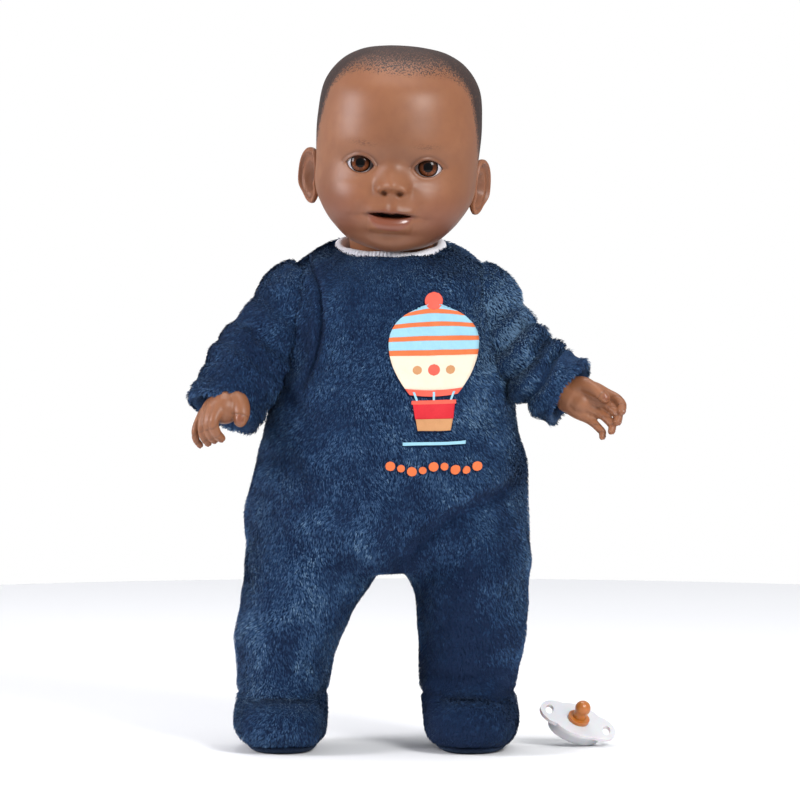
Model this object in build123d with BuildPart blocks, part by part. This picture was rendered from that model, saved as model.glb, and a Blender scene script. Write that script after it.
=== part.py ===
from build123d import *
from math import cos, radians, sin
import os

os.makedirs("parts", exist_ok=True)

# A soft-bodied baby doll, standing on its feet and facing -Y, with +X at its own left side.
# Millimetres. The floor is z = 0. MID is the doll's own middle plane, which is not x = 0
# because the left arm is held out further than the right one.

# Driving dimensions
MID = -9.5
SUIT = 3.5  # thickness of the plush suit
GAP = 0.2  # looseness between the suit and what it covers

# Torso sections: height, y of the centre, half width, half depth
TORSO = [
    (108, 4, 76, 50),
    (135, 2, 81, 57),
    (162, 0, 82, 61),
    (192, -1, 70, 61),
    (222, 0, 59, 57),
    (250, 2, 54.5, 51),
    (272, 3, 53.5, 46),
    (284, 4, 51, 41),
    (289, 5, 43, 36),
    (291, 5, 35, 33),
]

# Hips
HIP_Z = 118.0
HIP_R = 44.0  # half depth of a thigh and radius of its domed top
HIP_CLEAR = 46.0  # radius of the hollow in the torso that the dome turns in
GUSSET = 8.5  # half width of the strip of torso between the thighs

# Leg sections: height, distance of the centre from the middle plane, y, half width, half depth
RIGHT_LEG = [
    (36, 63.5, 2, 28, 30),
    (55, 62, 1, 28.8, 31),
    (69, 60, 0, 31.8, 34),
    (90, 53.5, 0, 35, 39),
    (104, 49.5, 0, 37.2, 42),
    (HIP_Z, 48, 0, 37.2, HIP_R),
]
LEFT_LEG = [
    (36, 45.5, 2, 28.4, 30),
    (55, 46.8, 1, 30, 32),
    (69, 48.3, 0, 31.8, 35),
    (90, 48, 0, 34, 40),
    (104, 47.6, 0, 36.5, 42.5),
    (HIP_Z, 48, 0, 37.2, HIP_R),
]
KNEE_Z = 72.0  # where the vinyl lower leg ends and the stuffed thigh begins
STUB_R = 20.0  # radius of the stub of vinyl leg that the thigh is tied to
STUB_TOP = 84.0

# Feet
FOOT_Y = -11.0
FOOT_HALF = (28.0, 43.0)
ANKLE_Z = 36.0
SOLE = 1.6

# Neck and head
NECK_Y = 5.0
NECK_Z = 286.0
NECK_R = 21.0
HEAD_ROLL = 4.0  # degrees, towards the doll's left shoulder
HEAD_YAW = -2.0
HEAD_WALL = 2.8
# Head sections above the top of the neck: height, y, half width, half depth
HEAD = [
    (11, -16, 17, 18),
    (14, -15, 24, 25),
    (21, -12, 32, 34),
    (28, -9, 38, 42),
    (42, -6, 46, 50),
    (60, -4, 47.5, 54),
    (85, -2, 48.4, 57),
    (106, 0, 45.3, 53),
    (113, 1, 42, 49),
    (120, 1.5, 36.8, 43),
    (127, 2, 25.3, 31),
    (130, 3, 9, 12),
]
EYE_X, EYE_Y, EYE_T = 19.7, -42.5, 61.6
EYE_R = 9.0
IRIS_R = 5.4
MOUTH_T = 32.4
MOUTH_W, MOUTH_H = 26.0, 6.0
CUP_R, CUP_BORE = 8.5, 6.0

# Shoulders and arms: the sleeve runs from the shoulder's centre to the middle of the cuff
SHOULDER_PLANE = 56.6
SHOULDER = (66.0, 3.0, 270.0)
SLEEVE_R = 23.0
CUFF_R = 21.0
WRIST_R = 11.3
RIGHT_CUFF = (97.0, -27.0, 202.0)
LEFT_CUFF = (105.5, -20.0, 214.0)

# Voice box
CASE = (60.0, 30.0, 66.0)
CASE_Y = 8.0  # its front wall
CASE_Z = 180.0  # its underside
CASE_SPLIT = CASE_Y + 16.0
WALL = 2.0
CELL_R, CELL_L = 5.2, 44.5
SPEAKER_R = 20.0

# Pacifier
PACIFIER_AT = (MID + 110.5, 6.0, 13.7)
SHIELD_W, SHIELD_D, SHIELD_T = 47.0, 31.0, 2.0


# Shared shapes

def torso_solid(shrink):
    """The outline of the suit's body, made smaller all round by shrink."""
    with BuildPart() as body:
        for height, y, half_width, half_depth in TORSO:
            with BuildSketch(Plane.XY.offset(height)):
                with Locations((MID, y)):
                    Ellipse(half_width - shrink, half_depth - shrink)
        loft()
    return body.part


def hip_room():
    """What the two thighs need to swing in: a round hollow, and all that is below it in front."""
    with BuildPart() as room:
        for side in (-1, 1):
            near, far = MID + side * GUSSET, MID + side * 100
            low, high = min(near, far), max(near, far)
            with BuildSketch(Plane.YZ.offset(low)):
                with Locations((0, HIP_Z)):
                    Circle(HIP_CLEAR)
                with Locations((-60, HIP_Z)):
                    Rectangle(120, 2 * HIP_CLEAR)
                with Locations((0, HIP_Z - 40)):
                    Rectangle(240, 80)
            extrude(amount=high - low)
    return room.part


def leg_solid(levels, side, shrink, domed):
    """A leg from the ankle to the hip, with the thigh's domed top if domed is true."""
    with BuildPart() as leg:
        for height, out, y, half_width, half_depth in levels:
            with BuildSketch(Plane.XY.offset(height)):
                with Locations((MID + side * out, y)):
                    Ellipse(half_width - shrink, half_depth - shrink)
        loft()
        if domed:
            top = levels[-1]
            with BuildSketch(Plane.XY.offset(HIP_Z)):
                with Locations((MID + side * top[1], top[2])):
                    Ellipse(top[3] - shrink, top[4] - shrink)
            extrude(amount=HIP_R)
            with BuildSketch(Plane.YZ.offset(MID - 100)):
                with Locations((0, HIP_Z)):
                    Circle(HIP_R - shrink)
                with Locations((0, HIP_Z / 2)):
                    Rectangle(240, HIP_Z)
            extrude(amount=200, mode=Mode.INTERSECT)
    return leg.part


def foot_solid(x, shrink, low):
    """A foot with a rounded outline, level at the ankle and sloping down to the toes."""
    half_width, half_length = FOOT_HALF
    toe = FOOT_Y - half_length + shrink
    heel = FOOT_Y + half_length - shrink
    with BuildPart() as foot:
        with BuildSketch(Plane.XY.offset(low)):
            with Locations((x, FOOT_Y)):
                RectangleRounded(2 * (half_width - shrink), 2 * (half_length - shrink), 25 - shrink)
        extrude(amount=ANKLE_Z - low)
        with BuildSketch(Plane.YZ.offset(x - 50)):
            with BuildLine():
                Polyline((toe, 10), (toe, low), (heel, low), (heel, ANKLE_Z), (-26 + shrink, ANKLE_Z))
                ThreePointArc((-26 + shrink, ANKLE_Z), (-45 + shrink, 28 - shrink), (toe, 10))
            make_face()
        extrude(amount=100, mode=Mode.INTERSECT)
    return foot.part


head_frame = Plane(
    origin=(MID, NECK_Y, NECK_Z),
    x_dir=(cos(radians(HEAD_ROLL)), 0, -sin(radians(HEAD_ROLL))),
    z_dir=(sin(radians(HEAD_ROLL)), 0, cos(radians(HEAD_ROLL))),
).rotated((0, 0, HEAD_YAW))


def head_solid(shrink, levels):
    """The outline of the head, made smaller all round by shrink."""
    with BuildPart() as head:
        for height, y, half_width, half_depth in levels:
            with BuildSketch(head_frame.offset(height)):
                with Locations((0, y)):
                    Ellipse(half_width - shrink, half_depth - shrink)
        loft()
    return head.part


def head_spot(x, y, height, turn=(0, 0, 0)):
    """A place given in the head's own frame, with a turn in degrees about its axes."""
    return head_frame.location * Location((x, y, height), turn)


def head_plane(y):
    """A plane across the head at y, facing the front, with the head's own x and height."""
    return Plane(
        origin=head_frame.from_local_coords((0, y, 0)),
        x_dir=head_frame.x_dir,
        z_dir=-head_frame.y_dir,
    )


# Torso: stuffed cloth body and the plush suit over it

torso_outer = torso_solid(0)
torso_inner = torso_solid(SUIT)
torso_stuffing = torso_solid(SUIT + GAP)
thigh_room = hip_room()
NECK_BORE = NECK_R + 3
BORE_FLOOR = NECK_Z - 22
LEAD_R = 1.1
CASE_TOP = CASE_Z + CASE[2]
LEAD_Y = 20.0

with BuildPart() as cloth_body:
    add(torso_stuffing)
    add(thigh_room, mode=Mode.SUBTRACT)
    split(bisect_by=Plane.XY.offset(NECK_Z), keep=Keep.BOTTOM)
    with Locations((MID, NECK_Y, BORE_FLOOR)):
        Cylinder(
            NECK_BORE, 40, align=(Align.CENTER, Align.CENTER, Align.MIN), mode=Mode.SUBTRACT
        )
    with Locations((MID, CASE_Y - GAP, CASE_Z - GAP)):
        Box(
            CASE[0] + 2 * GAP,
            80,
            CASE[2] + 2 * GAP,
            align=(Align.CENTER, Align.MIN, Align.MIN),
            mode=Mode.SUBTRACT,
        )
    with Locations((MID, LEAD_Y, CASE_TOP - 1)):
        Cylinder(
            LEAD_R + 0.5, 30, align=(Align.CENTER, Align.CENTER, Align.MIN), mode=Mode.SUBTRACT
        )
cloth_body.part.label = "cloth_body"
export_step(cloth_body.part, "parts/cloth_body.step")

COLLAR_R = 32.0
PLACKET_HALF = 9.0
PLACKET_LOW = 150.0

with BuildPart() as suit_shell:
    add(torso_outer)
    add(torso_inner, mode=Mode.SUBTRACT)
    add(thigh_room, mode=Mode.SUBTRACT)
    with Locations((MID, NECK_Y, NECK_Z)):
        Cylinder(
            COLLAR_R + GAP, 20, align=(Align.CENTER, Align.CENTER, Align.MIN), mode=Mode.SUBTRACT
        )

with BuildPart() as suit_front:
    add(suit_shell.part)
    split(bisect_by=Plane.XZ.offset(-NECK_Y), keep=Keep.TOP)
suit_front.part.label = "suit_front"
export_step(suit_front.part, "parts/suit_front.step")

for side, name in ((-1, "suit_back_right"), (1, "suit_back_left")):
    with BuildPart() as suit_back:
        add(suit_shell.part)
        with Locations((MID + side * GAP / 2, NECK_Y + GAP, 0)):
            Box(
                100,
                100,
                300,
                align=(Align.MAX if side < 0 else Align.MIN, Align.MIN, Align.MIN),
                mode=Mode.INTERSECT,
            )
        with Locations((MID, NECK_Y, PLACKET_LOW - GAP)):
            Box(
                2 * PLACKET_HALF + 2 * GAP,
                100,
                200,
                align=(Align.CENTER, Align.MIN, Align.MIN),
                mode=Mode.SUBTRACT,
            )
    suit_back.part.label = name
    export_step(suit_back.part, f"parts/{name}.step")

with BuildPart() as back_placket:
    add(suit_shell.part)
    with Locations((MID, NECK_Y + 1, PLACKET_LOW)):
        Box(
            2 * PLACKET_HALF,
            100,
            200,
            align=(Align.CENTER, Align.MIN, Align.MIN),
            mode=Mode.INTERSECT,
        )
back_placket.part.label = "back_placket"
export_step(back_placket.part, "parts/back_placket.step")

PRINT_X = MID + 25.3
PRINT_Z = 218.0
PRINT_SIZE = (60.0, 104.0)

with BuildPart() as chest_print:
    add(torso_solid(-0.6))
    add(torso_solid(-0.15), mode=Mode.SUBTRACT)
    with BuildSketch(Plane.XZ):
        with Locations((PRINT_X, PRINT_Z)):
            RectangleRounded(PRINT_SIZE[0], PRINT_SIZE[1], 12)
    extrude(amount=100, mode=Mode.INTERSECT)
chest_print.part.label = "chest_print"
export_step(chest_print.part, "parts/chest_print.step")

with BuildPart() as collar:
    with Locations((MID, NECK_Y, NECK_Z + GAP)):
        Cylinder(COLLAR_R, 8, align=(Align.CENTER, Align.CENTER, Align.MIN))
        Cylinder(
            NECK_BORE + 1, 8, align=(Align.CENTER, Align.CENTER, Align.MIN), mode=Mode.SUBTRACT
        )
    fillet(collar.edges().group_by(Axis.Z)[-1], 1.5)
collar.part.label = "collar"
export_step(collar.part, "parts/collar.step")

with BuildPart() as neck_tie:
    with Locations((MID, NECK_Y, NECK_Z - 8)):
        Cylinder(NECK_BORE - GAP, 3, align=(Align.CENTER, Align.CENTER, Align.MIN))
        Cylinder(
            NECK_R + 1.1, 3, align=(Align.CENTER, Align.CENTER, Align.MIN), mode=Mode.SUBTRACT
        )
neck_tie.part.label = "neck_tie"
export_step(neck_tie.part, "parts/neck_tie.step")

# Voice box in the back of the body, with its battery door towards the back closure

CASE_BACK = CASE_Y + CASE[1]
BAY_W, BAY_D, BAY_H = 50.0, 13.0, 35.0
BAY_Z = CASE_Z + 4
DOOR_T = 2.0
DOOR_SEAT = 2.0  # how far the door laps over the bay's edge
SPEAKER_Z = CASE_Z + CASE[2] / 2
SWITCH_Z = CASE_Z + 52
SWITCH_TRAVEL = 4.0

with BuildPart() as voice_case_front:
    with Locations((MID, CASE_Y, CASE_Z)):
        Box(
            CASE[0], CASE_SPLIT - CASE_Y, CASE[2], align=(Align.CENTER, Align.MIN, Align.MIN)
        )
    with Locations((MID, CASE_Y + WALL, CASE_Z + WALL)):
        Box(
            CASE[0] - 2 * WALL,
            CASE_SPLIT - CASE_Y,
            CASE[2] - 2 * WALL,
            align=(Align.CENTER, Align.MIN, Align.MIN),
            mode=Mode.SUBTRACT,
        )
    with BuildSketch(Plane.XZ.offset(-CASE_Y)):
        with Locations((MID, SPEAKER_Z)):
            with PolarLocations(6, 6):
                Circle(1.5)
            with PolarLocations(12, 12):
                Circle(1.5)
            Circle(1.5)
    extrude(amount=-WALL, mode=Mode.SUBTRACT)
voice_case_front.part.label = "voice_case_front"
export_step(voice_case_front.part, "parts/voice_case_front.step")

with BuildPart() as voice_case_back:
    with Locations((MID, CASE_SPLIT, CASE_Z)):
        Box(
            CASE[0], CASE_BACK - CASE_SPLIT, CASE[2], align=(Align.CENTER, Align.MIN, Align.MIN)
        )
    with Locations((MID, CASE_BACK - BAY_D, BAY_Z)):
        Box(
            BAY_W, BAY_D, BAY_H, align=(Align.CENTER, Align.MIN, Align.MIN), mode=Mode.SUBTRACT
        )
    with Locations((MID, CASE_BACK - DOOR_T, BAY_Z - DOOR_SEAT)):
        Box(
            BAY_W + 2 * DOOR_SEAT,
            DOOR_T,
            BAY_H + 2 * DOOR_SEAT + 4,
            align=(Align.CENTER, Align.MIN, Align.MIN),
            mode=Mode.SUBTRACT,
        )
    with Locations((MID, CASE_SPLIT, SWITCH_Z - 6)):
        Box(
            30,
            CASE_BACK - CASE_SPLIT - WALL,
            14,
            align=(Align.CENTER, Align.MIN, Align.MIN),
            mode=Mode.SUBTRACT,
        )
    with Locations((MID + SWITCH_TRAVEL / 2, CASE_BACK - WALL, SWITCH_Z)):
        Box(
            6 + SWITCH_TRAVEL,
            WALL,
            5,
            align=(Align.CENTER, Align.MIN, Align.CENTER),
            mode=Mode.SUBTRACT,
        )
    with Locations((MID, CASE_BACK - DOOR_T - 5, BAY_Z + BAY_H + 3)):
        Cylinder(
            1.3,
            5,
            rotation=(-90, 0, 0),
            align=(Align.CENTER, Align.CENTER, Align.MIN),
            mode=Mode.SUBTRACT,
        )
voice_case_back.part.label = "voice_case_back"
export_step(voice_case_back.part, "parts/voice_case_back.step")

DOOR_SCREW_Z = BAY_Z + BAY_H + 3

with BuildPart() as battery_door:
    with Locations((MID, CASE_BACK - DOOR_T, BAY_Z - DOOR_SEAT + GAP)):
        Box(
            BAY_W + 2 * DOOR_SEAT - 2 * GAP,
            DOOR_T,
            BAY_H + 2 * DOOR_SEAT + 4 - 2 * GAP,
            align=(Align.CENTER, Align.MIN, Align.MIN),
        )
    with Locations((MID, CASE_BACK - DOOR_T, DOOR_SCREW_Z)):
        Cylinder(
            1.5,
            DOOR_T,
            rotation=(-90, 0, 0),
            align=(Align.CENTER, Align.CENTER, Align.MIN),
            mode=Mode.SUBTRACT,
        )
battery_door.part.label = "battery_door"
export_step(battery_door.part, "parts/battery_door.step")

with BuildPart() as door_screw:
    with Locations((MID, CASE_BACK - DOOR_T - 4.8, DOOR_SCREW_Z)):
        Cylinder(
            1.25, 7, rotation=(-90, 0, 0), align=(Align.CENTER, Align.CENTER, Align.MIN)
        )
    with Locations((MID, CASE_BACK + 0.05, DOOR_SCREW_Z)):
        Cylinder(
            2.5, 1.5, rotation=(-90, 0, 0), align=(Align.CENTER, Align.CENTER, Align.MIN)
        )
    with Locations((MID, CASE_BACK + 1.05, DOOR_SCREW_Z)):
        Box(3.6, 0.6, 0.7, align=(Align.CENTER, Align.MIN, Align.CENTER), mode=Mode.SUBTRACT)
        Box(0.7, 0.6, 3.6, align=(Align.CENTER, Align.MIN, Align.CENTER), mode=Mode.SUBTRACT)
door_screw.part.label = "door_screw"
export_step(door_screw.part, "parts/door_screw.step")

CELL_Y = CASE_BACK - DOOR_T - 0.3 - CELL_R
with BuildPart() as batteries:
    for row in range(3):
        with Locations((MID, CELL_Y, BAY_Z + BAY_H / 2 + (row - 1) * (2 * CELL_R + 1))):
            Cylinder(CELL_R, CELL_L - 1, rotation=(0, 90, 0))
            Cylinder(1.9, CELL_L, rotation=(0, 90, 0))
batteries.part.label = "batteries"
export_step(batteries.part, "parts/batteries.step")

with BuildPart() as battery_contacts:
    for side in (-1, 1):
        for row in range(3):
            z = BAY_Z + BAY_H / 2 + (row - 1) * (2 * CELL_R + 1)
            with Locations((MID + side * (BAY_W / 2 - 0.05), CELL_Y, z)):
                Box(
                    0.6,
                    8,
                    9,
                    align=(Align.MIN if side < 0 else Align.MAX, Align.CENTER, Align.CENTER),
                )
            with Locations((MID + side * (CELL_L / 2 + 0.1), CELL_Y, z)):
                Cylinder(
                    2.6,
                    BAY_W / 2 - CELL_L / 2 - 0.15,
                    rotation=(0, 90 * side, 0),
                    align=(Align.CENTER, Align.CENTER, Align.MIN),
                )
battery_contacts.part.label = "battery_contacts"
export_step(battery_contacts.part, "parts/battery_contacts.step")

BOARD_Y = CASE_SPLIT - 2.6
with BuildPart() as circuit_board:
    with Locations((MID, BOARD_Y, CASE_Z + WALL + 1)):
        Box(
            CASE[0] - 2 * WALL - 2,
            1.6,
            CASE[2] - 2 * WALL - 2,
            align=(Align.CENTER, Align.MIN, Align.MIN),
        )
circuit_board.part.label = "circuit_board"
export_step(circuit_board.part, "parts/circuit_board.step")

with BuildPart() as board_components:
    with Locations((MID - 20, BOARD_Y, CASE_Z + 56)):
        Box(9, 1.4, 7, align=(Align.CENTER, Align.MAX, Align.MIN))
    with Locations((MID + 22, BOARD_Y, CASE_Z + 5)):
        Box(6, 2.2, 5, align=(Align.CENTER, Align.MAX, Align.MIN))
    for step in range(3):
        with Locations((MID - 24 + 3 * step, BOARD_Y, CASE_Z + 5)):
            Box(1.6, 0.8, 3, align=(Align.CENTER, Align.MAX, Align.MIN))
board_components.part.label = "board_components"
export_step(board_components.part, "parts/board_components.step")

SPEAKER_Y = CASE_Y + WALL
with BuildPart() as speaker:
    with BuildSketch(Plane.XZ.offset(-SPEAKER_Y)):
        with Locations((MID, SPEAKER_Z)):
            Circle(SPEAKER_R)
    extrude(amount=-3)
    with BuildSketch(Plane.XZ.offset(-SPEAKER_Y - 3)):
        with Locations((MID, SPEAKER_Z)):
            Circle(12)
    extrude(amount=-5)
    with BuildSketch(Plane.XZ.offset(-SPEAKER_Y)):
        with Locations((MID, SPEAKER_Z)):
            Circle(SPEAKER_R - 3)
    extrude(amount=-1.5, taper=25, mode=Mode.SUBTRACT)
speaker.part.label = "speaker"
export_step(speaker.part, "parts/speaker.step")

with BuildPart() as case_screws:
    for x in (-1, 1):
        for z in (3, CASE[2] - 3):
            with Locations((MID + x * (CASE[0] / 2 - 3.4), CASE_BACK, CASE_Z + z)):
                Cylinder(
                    2.2, 1.2, rotation=(-90, 0, 0), align=(Align.CENTER, Align.CENTER, Align.MIN)
                )
case_screws.part.label = "case_screws"
export_step(case_screws.part, "parts/case_screws.step")

with BuildPart() as power_switch:
    with Locations((MID, CASE_BACK - WALL - 0.1, SWITCH_Z)):
        Box(5, WALL + 2.1, 4, align=(Align.CENTER, Align.MIN, Align.CENTER))
        Box(10, 1.8, 8, align=(Align.CENTER, Align.MAX, Align.CENTER))
power_switch.part.label = "power_switch"
export_step(power_switch.part, "parts/power_switch.step")

with BuildPart() as chest_lead:
    with BuildLine() as chest_route:
        FilletPolyline(
            (MID, LEAD_Y, CASE_TOP),
            (MID, LEAD_Y, CASE_TOP + 23),
            (MID, NECK_Y, CASE_TOP + 32),
            (MID, NECK_Y, NECK_Z),
            radius=7,
        )
    with BuildSketch(Plane.XY.offset(CASE_TOP)):
        with Locations((MID, LEAD_Y)):
            Circle(LEAD_R)
    sweep(path=chest_route.wire())
chest_lead.part.label = "chest_lead"
export_step(chest_lead.part, "parts/chest_lead.step")

# Head: a hollow vinyl shell with set-in eyes, and the mouth switch behind the lips

head_outer = head_solid(0, HEAD)
head_hollow = head_solid(HEAD_WALL, HEAD[1:-1])
EAR_T = 54.0
NECK_END = -14.0  # the flanged end of the vinyl neck, below the top of the cloth neck
NOSE_Y, NOSE_T, NOSE_R = -55.0, 48.0, 8.0
BACK_OF_CUP = -31.0

with BuildPart() as head_shell:
    add(head_outer)
    with Locations(head_spot(0, 0, NECK_END)):
        Cylinder(NECK_R, 34, align=(Align.CENTER, Align.CENTER, Align.MIN))
        Cylinder(NECK_R + 1, 4, align=(Align.CENTER, Align.CENTER, Align.MIN))
    for side in (-1, 1):
        with Locations(head_spot(side * 47.5, 2, EAR_T, (90, 0, side * 70))):
            Cylinder(13, 4)
            Torus(12, 2.6)
    with Locations(head_spot(0, NOSE_Y, NOSE_T)):
        Sphere(NOSE_R)
    add(head_hollow, mode=Mode.SUBTRACT)
    with Locations(head_spot(0, 0, NECK_END)):
        Cylinder(
            NECK_R - 2.5, 36, align=(Align.CENTER, Align.CENTER, Align.MIN), mode=Mode.SUBTRACT
        )
    for side in (-1, 1):
        with BuildSketch(head_plane(-70)):
            with Locations((side * EYE_X, EYE_T)):
                Ellipse(7.5, 4.7)
        extrude(amount=-30, mode=Mode.SUBTRACT)
        with Locations(head_spot(side * EYE_X, EYE_Y, EYE_T)):
            Sphere(EYE_R + GAP, mode=Mode.SUBTRACT)
    with BuildSketch(head_plane(-70)):
        with Locations((0, MOUTH_T)):
            SlotOverall(MOUTH_W, MOUTH_H)
    extrude(amount=-30, mode=Mode.SUBTRACT)
head_shell.part.label = "head_shell"
export_step(head_shell.part, "parts/head_shell.step")

for side, name in ((-1, "right"), (1, "left")):
    with BuildPart() as eyeball:
        with Locations(head_spot(side * EYE_X, EYE_Y, EYE_T)):
            Sphere(EYE_R)
        with BuildSketch(head_plane(EYE_Y - 20)):
            with Locations((side * EYE_X, EYE_T)):
                Circle(IRIS_R + 0.15)
        extrude(amount=-13.6, mode=Mode.SUBTRACT)
    eyeball.part.label = f"eyeball_{name}"
    export_step(eyeball.part, f"parts/eyeball_{name}.step")

    with BuildPart() as iris:
        with BuildSketch(head_plane(EYE_Y - 7.2)):
            with Locations((side * EYE_X, EYE_T)):
                Circle(IRIS_R)
        extrude(amount=-0.7)
    iris.part.label = f"iris_{name}"
    export_step(iris.part, f"parts/iris_{name}.step")

    with BuildPart() as cornea:
        with Locations(head_spot(side * EYE_X, EYE_Y, EYE_T)):
            Sphere(EYE_R + 0.1)
        with BuildSketch(head_plane(EYE_Y - 20)):
            with Locations((side * EYE_X, EYE_T)):
                Circle(IRIS_R)
        extrude(amount=-12.7, mode=Mode.INTERSECT)
    cornea.part.label = f"cornea_{name}"
    export_step(cornea.part, f"parts/cornea_{name}.step")

with BuildPart() as mouth_cup:
    with BuildSketch(head_plane(-70)):
        with Locations((0, MOUTH_T)):
            Circle(CUP_R)
    extrude(amount=-42)
    add(head_solid(HEAD_WALL + GAP, HEAD[1:-1]), mode=Mode.INTERSECT)
    with BuildSketch(head_plane(-70)):
        with Locations((0, MOUTH_T)):
            Circle(CUP_BORE)
    extrude(amount=-70 - BACK_OF_CUP, mode=Mode.SUBTRACT)
    with BuildSketch(head_plane(-70)):
        with Locations((0, MOUTH_T)):
            Circle(3.1)
    extrude(amount=-45, mode=Mode.SUBTRACT)
mouth_cup.part.label = "mouth_cup"
export_step(mouth_cup.part, "parts/mouth_cup.step")

SWITCH_FRONT = -27.9
SWITCH_DEPTH = 10.0
with BuildPart() as mouth_switch:
    with BuildSketch(head_plane(SWITCH_FRONT)):
        with Locations((0, MOUTH_T)):
            Rectangle(15, 12)
    extrude(amount=-SWITCH_DEPTH)
    with BuildSketch(head_plane(SWITCH_FRONT)):
        with Locations((0, MOUTH_T)):
            Circle(3.1)
    extrude(amount=-7.5, mode=Mode.SUBTRACT)
mouth_switch.part.label = "mouth_switch"
export_step(mouth_switch.part, "parts/mouth_switch.step")

with BuildPart() as mouth_plunger:
    with BuildSketch(head_plane(-37)):
        with Locations((0, MOUTH_T)):
            Circle(3)
    extrude(amount=-13)
    with BuildSketch(head_plane(-37)):
        with Locations((0, MOUTH_T)):
            Circle(4.5)
    extrude(amount=-1.5)
mouth_plunger.part.label = "mouth_plunger"
export_step(mouth_plunger.part, "parts/mouth_plunger.step")

with BuildPart() as head_lead:
    with BuildLine() as head_route:
        FilletPolyline(
            head_frame.from_local_coords((0, SWITCH_FRONT + SWITCH_DEPTH, MOUTH_T)),
            head_frame.from_local_coords((0, -7, MOUTH_T)),
            head_frame.from_local_coords((0, 0, 22)),
            head_frame.from_local_coords((0, 0, 1)),
            radius=8,
        )
    with BuildSketch(head_plane(SWITCH_FRONT + SWITCH_DEPTH)):
        with Locations((0, MOUTH_T)):
            Circle(LEAD_R)
    sweep(path=head_route.wire())
head_lead.part.label = "head_lead"
export_step(head_lead.part, "parts/head_lead.step")

# Arms: stuffed upper arm, vinyl forearm and hand, plush sleeve gathered at the cuff

FINGER_R = 3.2
# Across the palm and length of each finger, from the little finger to the first finger
FINGERS = [(-9.3, 10.5), (-3.2, 13), (3.1, 13.5), (9.2, 12)]


def arm_plane(start, end, at):
    """A plane across the arm, at a distance along the line from start to end."""
    direction = (Vector(*end) - Vector(*start)).normalized()
    return Plane(origin=Vector(*start) + direction * at, z_dir=direction)


def build_arm(side, name, cuff, hand_dir, palm_across):
    shoulder = (MID + side * SHOULDER[0], SHOULDER[1], SHOULDER[2])
    cuff = (MID + side * cuff[0], cuff[1], cuff[2])
    length = (Vector(*cuff) - Vector(*shoulder)).length
    elbow = length - 34
    outside = MID + side * SHOULDER_PLANE
    box_align = Align.MIN if side > 0 else Align.MAX

    with BuildPart() as sleeve:
        with Locations(shoulder):
            Sphere(SLEEVE_R)
        for at, radius in ((0, SLEEVE_R), (0.4 * length, 21.5), (0.75 * length, 20.5), (length, CUFF_R)):
            with BuildSketch(arm_plane(shoulder, cuff, at)):
                Circle(radius)
        loft()
        fillet(sleeve.faces().sort_by(Axis.Z)[0].edges(), 6)
        with Locations((outside, 0, 0)):
            Box(200, 400, 900, align=(box_align, Align.CENTER, Align.CENTER), mode=Mode.INTERSECT)
        with BuildSketch(arm_plane(shoulder, cuff, elbow)):
            Circle(WRIST_R + 0.4)
        extrude(amount=60, mode=Mode.SUBTRACT)
        with BuildSketch(arm_plane(shoulder, cuff, -4)):
            Circle(SLEEVE_R - SUIT - 3)
        extrude(amount=elbow + 4, mode=Mode.SUBTRACT)
    sleeve.part.label = f"sleeve_{name}"
    export_step(sleeve.part, f"parts/sleeve_{name}.step")

    with BuildPart() as upper_arm:
        with BuildSketch(arm_plane(shoulder, cuff, -3.8)):
            Circle(SLEEVE_R - SUIT - 3 - GAP)
        extrude(amount=elbow + 3.6)
        with BuildSketch(arm_plane(shoulder, cuff, elbow - 12)):
            Circle(WRIST_R + GAP)
        extrude(amount=30, mode=Mode.SUBTRACT)
        with Locations((outside + side * 0.5, 0, 0)):
            Box(200, 400, 900, align=(box_align, Align.CENTER, Align.CENTER), mode=Mode.INTERSECT)
    upper_arm.part.label = f"upper_arm_{name}"
    export_step(upper_arm.part, f"parts/upper_arm_{name}.step")

    with BuildPart() as arm_tie:
        with BuildSketch(arm_plane(shoulder, cuff, elbow - 6)):
            Circle(WRIST_R)
            Circle(WRIST_R - 1.6, mode=Mode.SUBTRACT)
        extrude(amount=3)
    arm_tie.part.label = f"arm_tie_{name}"
    export_step(arm_tie.part, f"parts/arm_tie_{name}.step")

    wrist = Vector(*cuff) + (Vector(*cuff) - Vector(*shoulder)).normalized() * 3
    hand = Plane(origin=wrist, x_dir=palm_across, z_dir=hand_dir)
    with BuildPart() as forearm:
        with BuildSketch(arm_plane(shoulder, cuff, elbow - 11.8)):
            Circle(WRIST_R)
        extrude(amount=34 + 12)
        with BuildSketch(arm_plane(shoulder, cuff, elbow - 6.2)):
            Circle(WRIST_R + 1)
            Circle(WRIST_R - 1.8, mode=Mode.SUBTRACT)
        extrude(amount=3.4, mode=Mode.SUBTRACT)
        for at, across, through in ((-4, 10, 9), (6, 12, 8.5), (16, 13.4, 7.4), (25, 12.6, 5.4)):
            with BuildSketch(hand.offset(at)):
                Ellipse(across, through)
        loft()
        for across, reach in FINGERS:
            knuckle = hand.from_local_coords((across, 0.5, 22))
            bend = hand.from_local_coords((across * 1.05, 1.5, 22 + 0.62 * reach))
            tip = hand.from_local_coords((across * 1.05, 6.5, 22 + reach))
            for first, last in ((knuckle, bend), (bend, tip)):
                with BuildSketch(Plane(origin=first, z_dir=last - first)):
                    Circle(FINGER_R)
                extrude(amount=(last - first).length)
                with Locations(last):
                    Sphere(FINGER_R)
        thumb_root = hand.from_local_coords((10, 2, 8))
        thumb_tip = hand.from_local_coords((15.5, 7, 19))
        with BuildSketch(Plane(origin=thumb_root, z_dir=thumb_tip - thumb_root)):
            Circle(3.5)
        extrude(amount=(thumb_tip - thumb_root).length)
        with Locations(thumb_tip):
            Sphere(3.5)
    forearm.part.label = f"forearm_{name}"
    export_step(forearm.part, f"parts/forearm_{name}.step")


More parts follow.
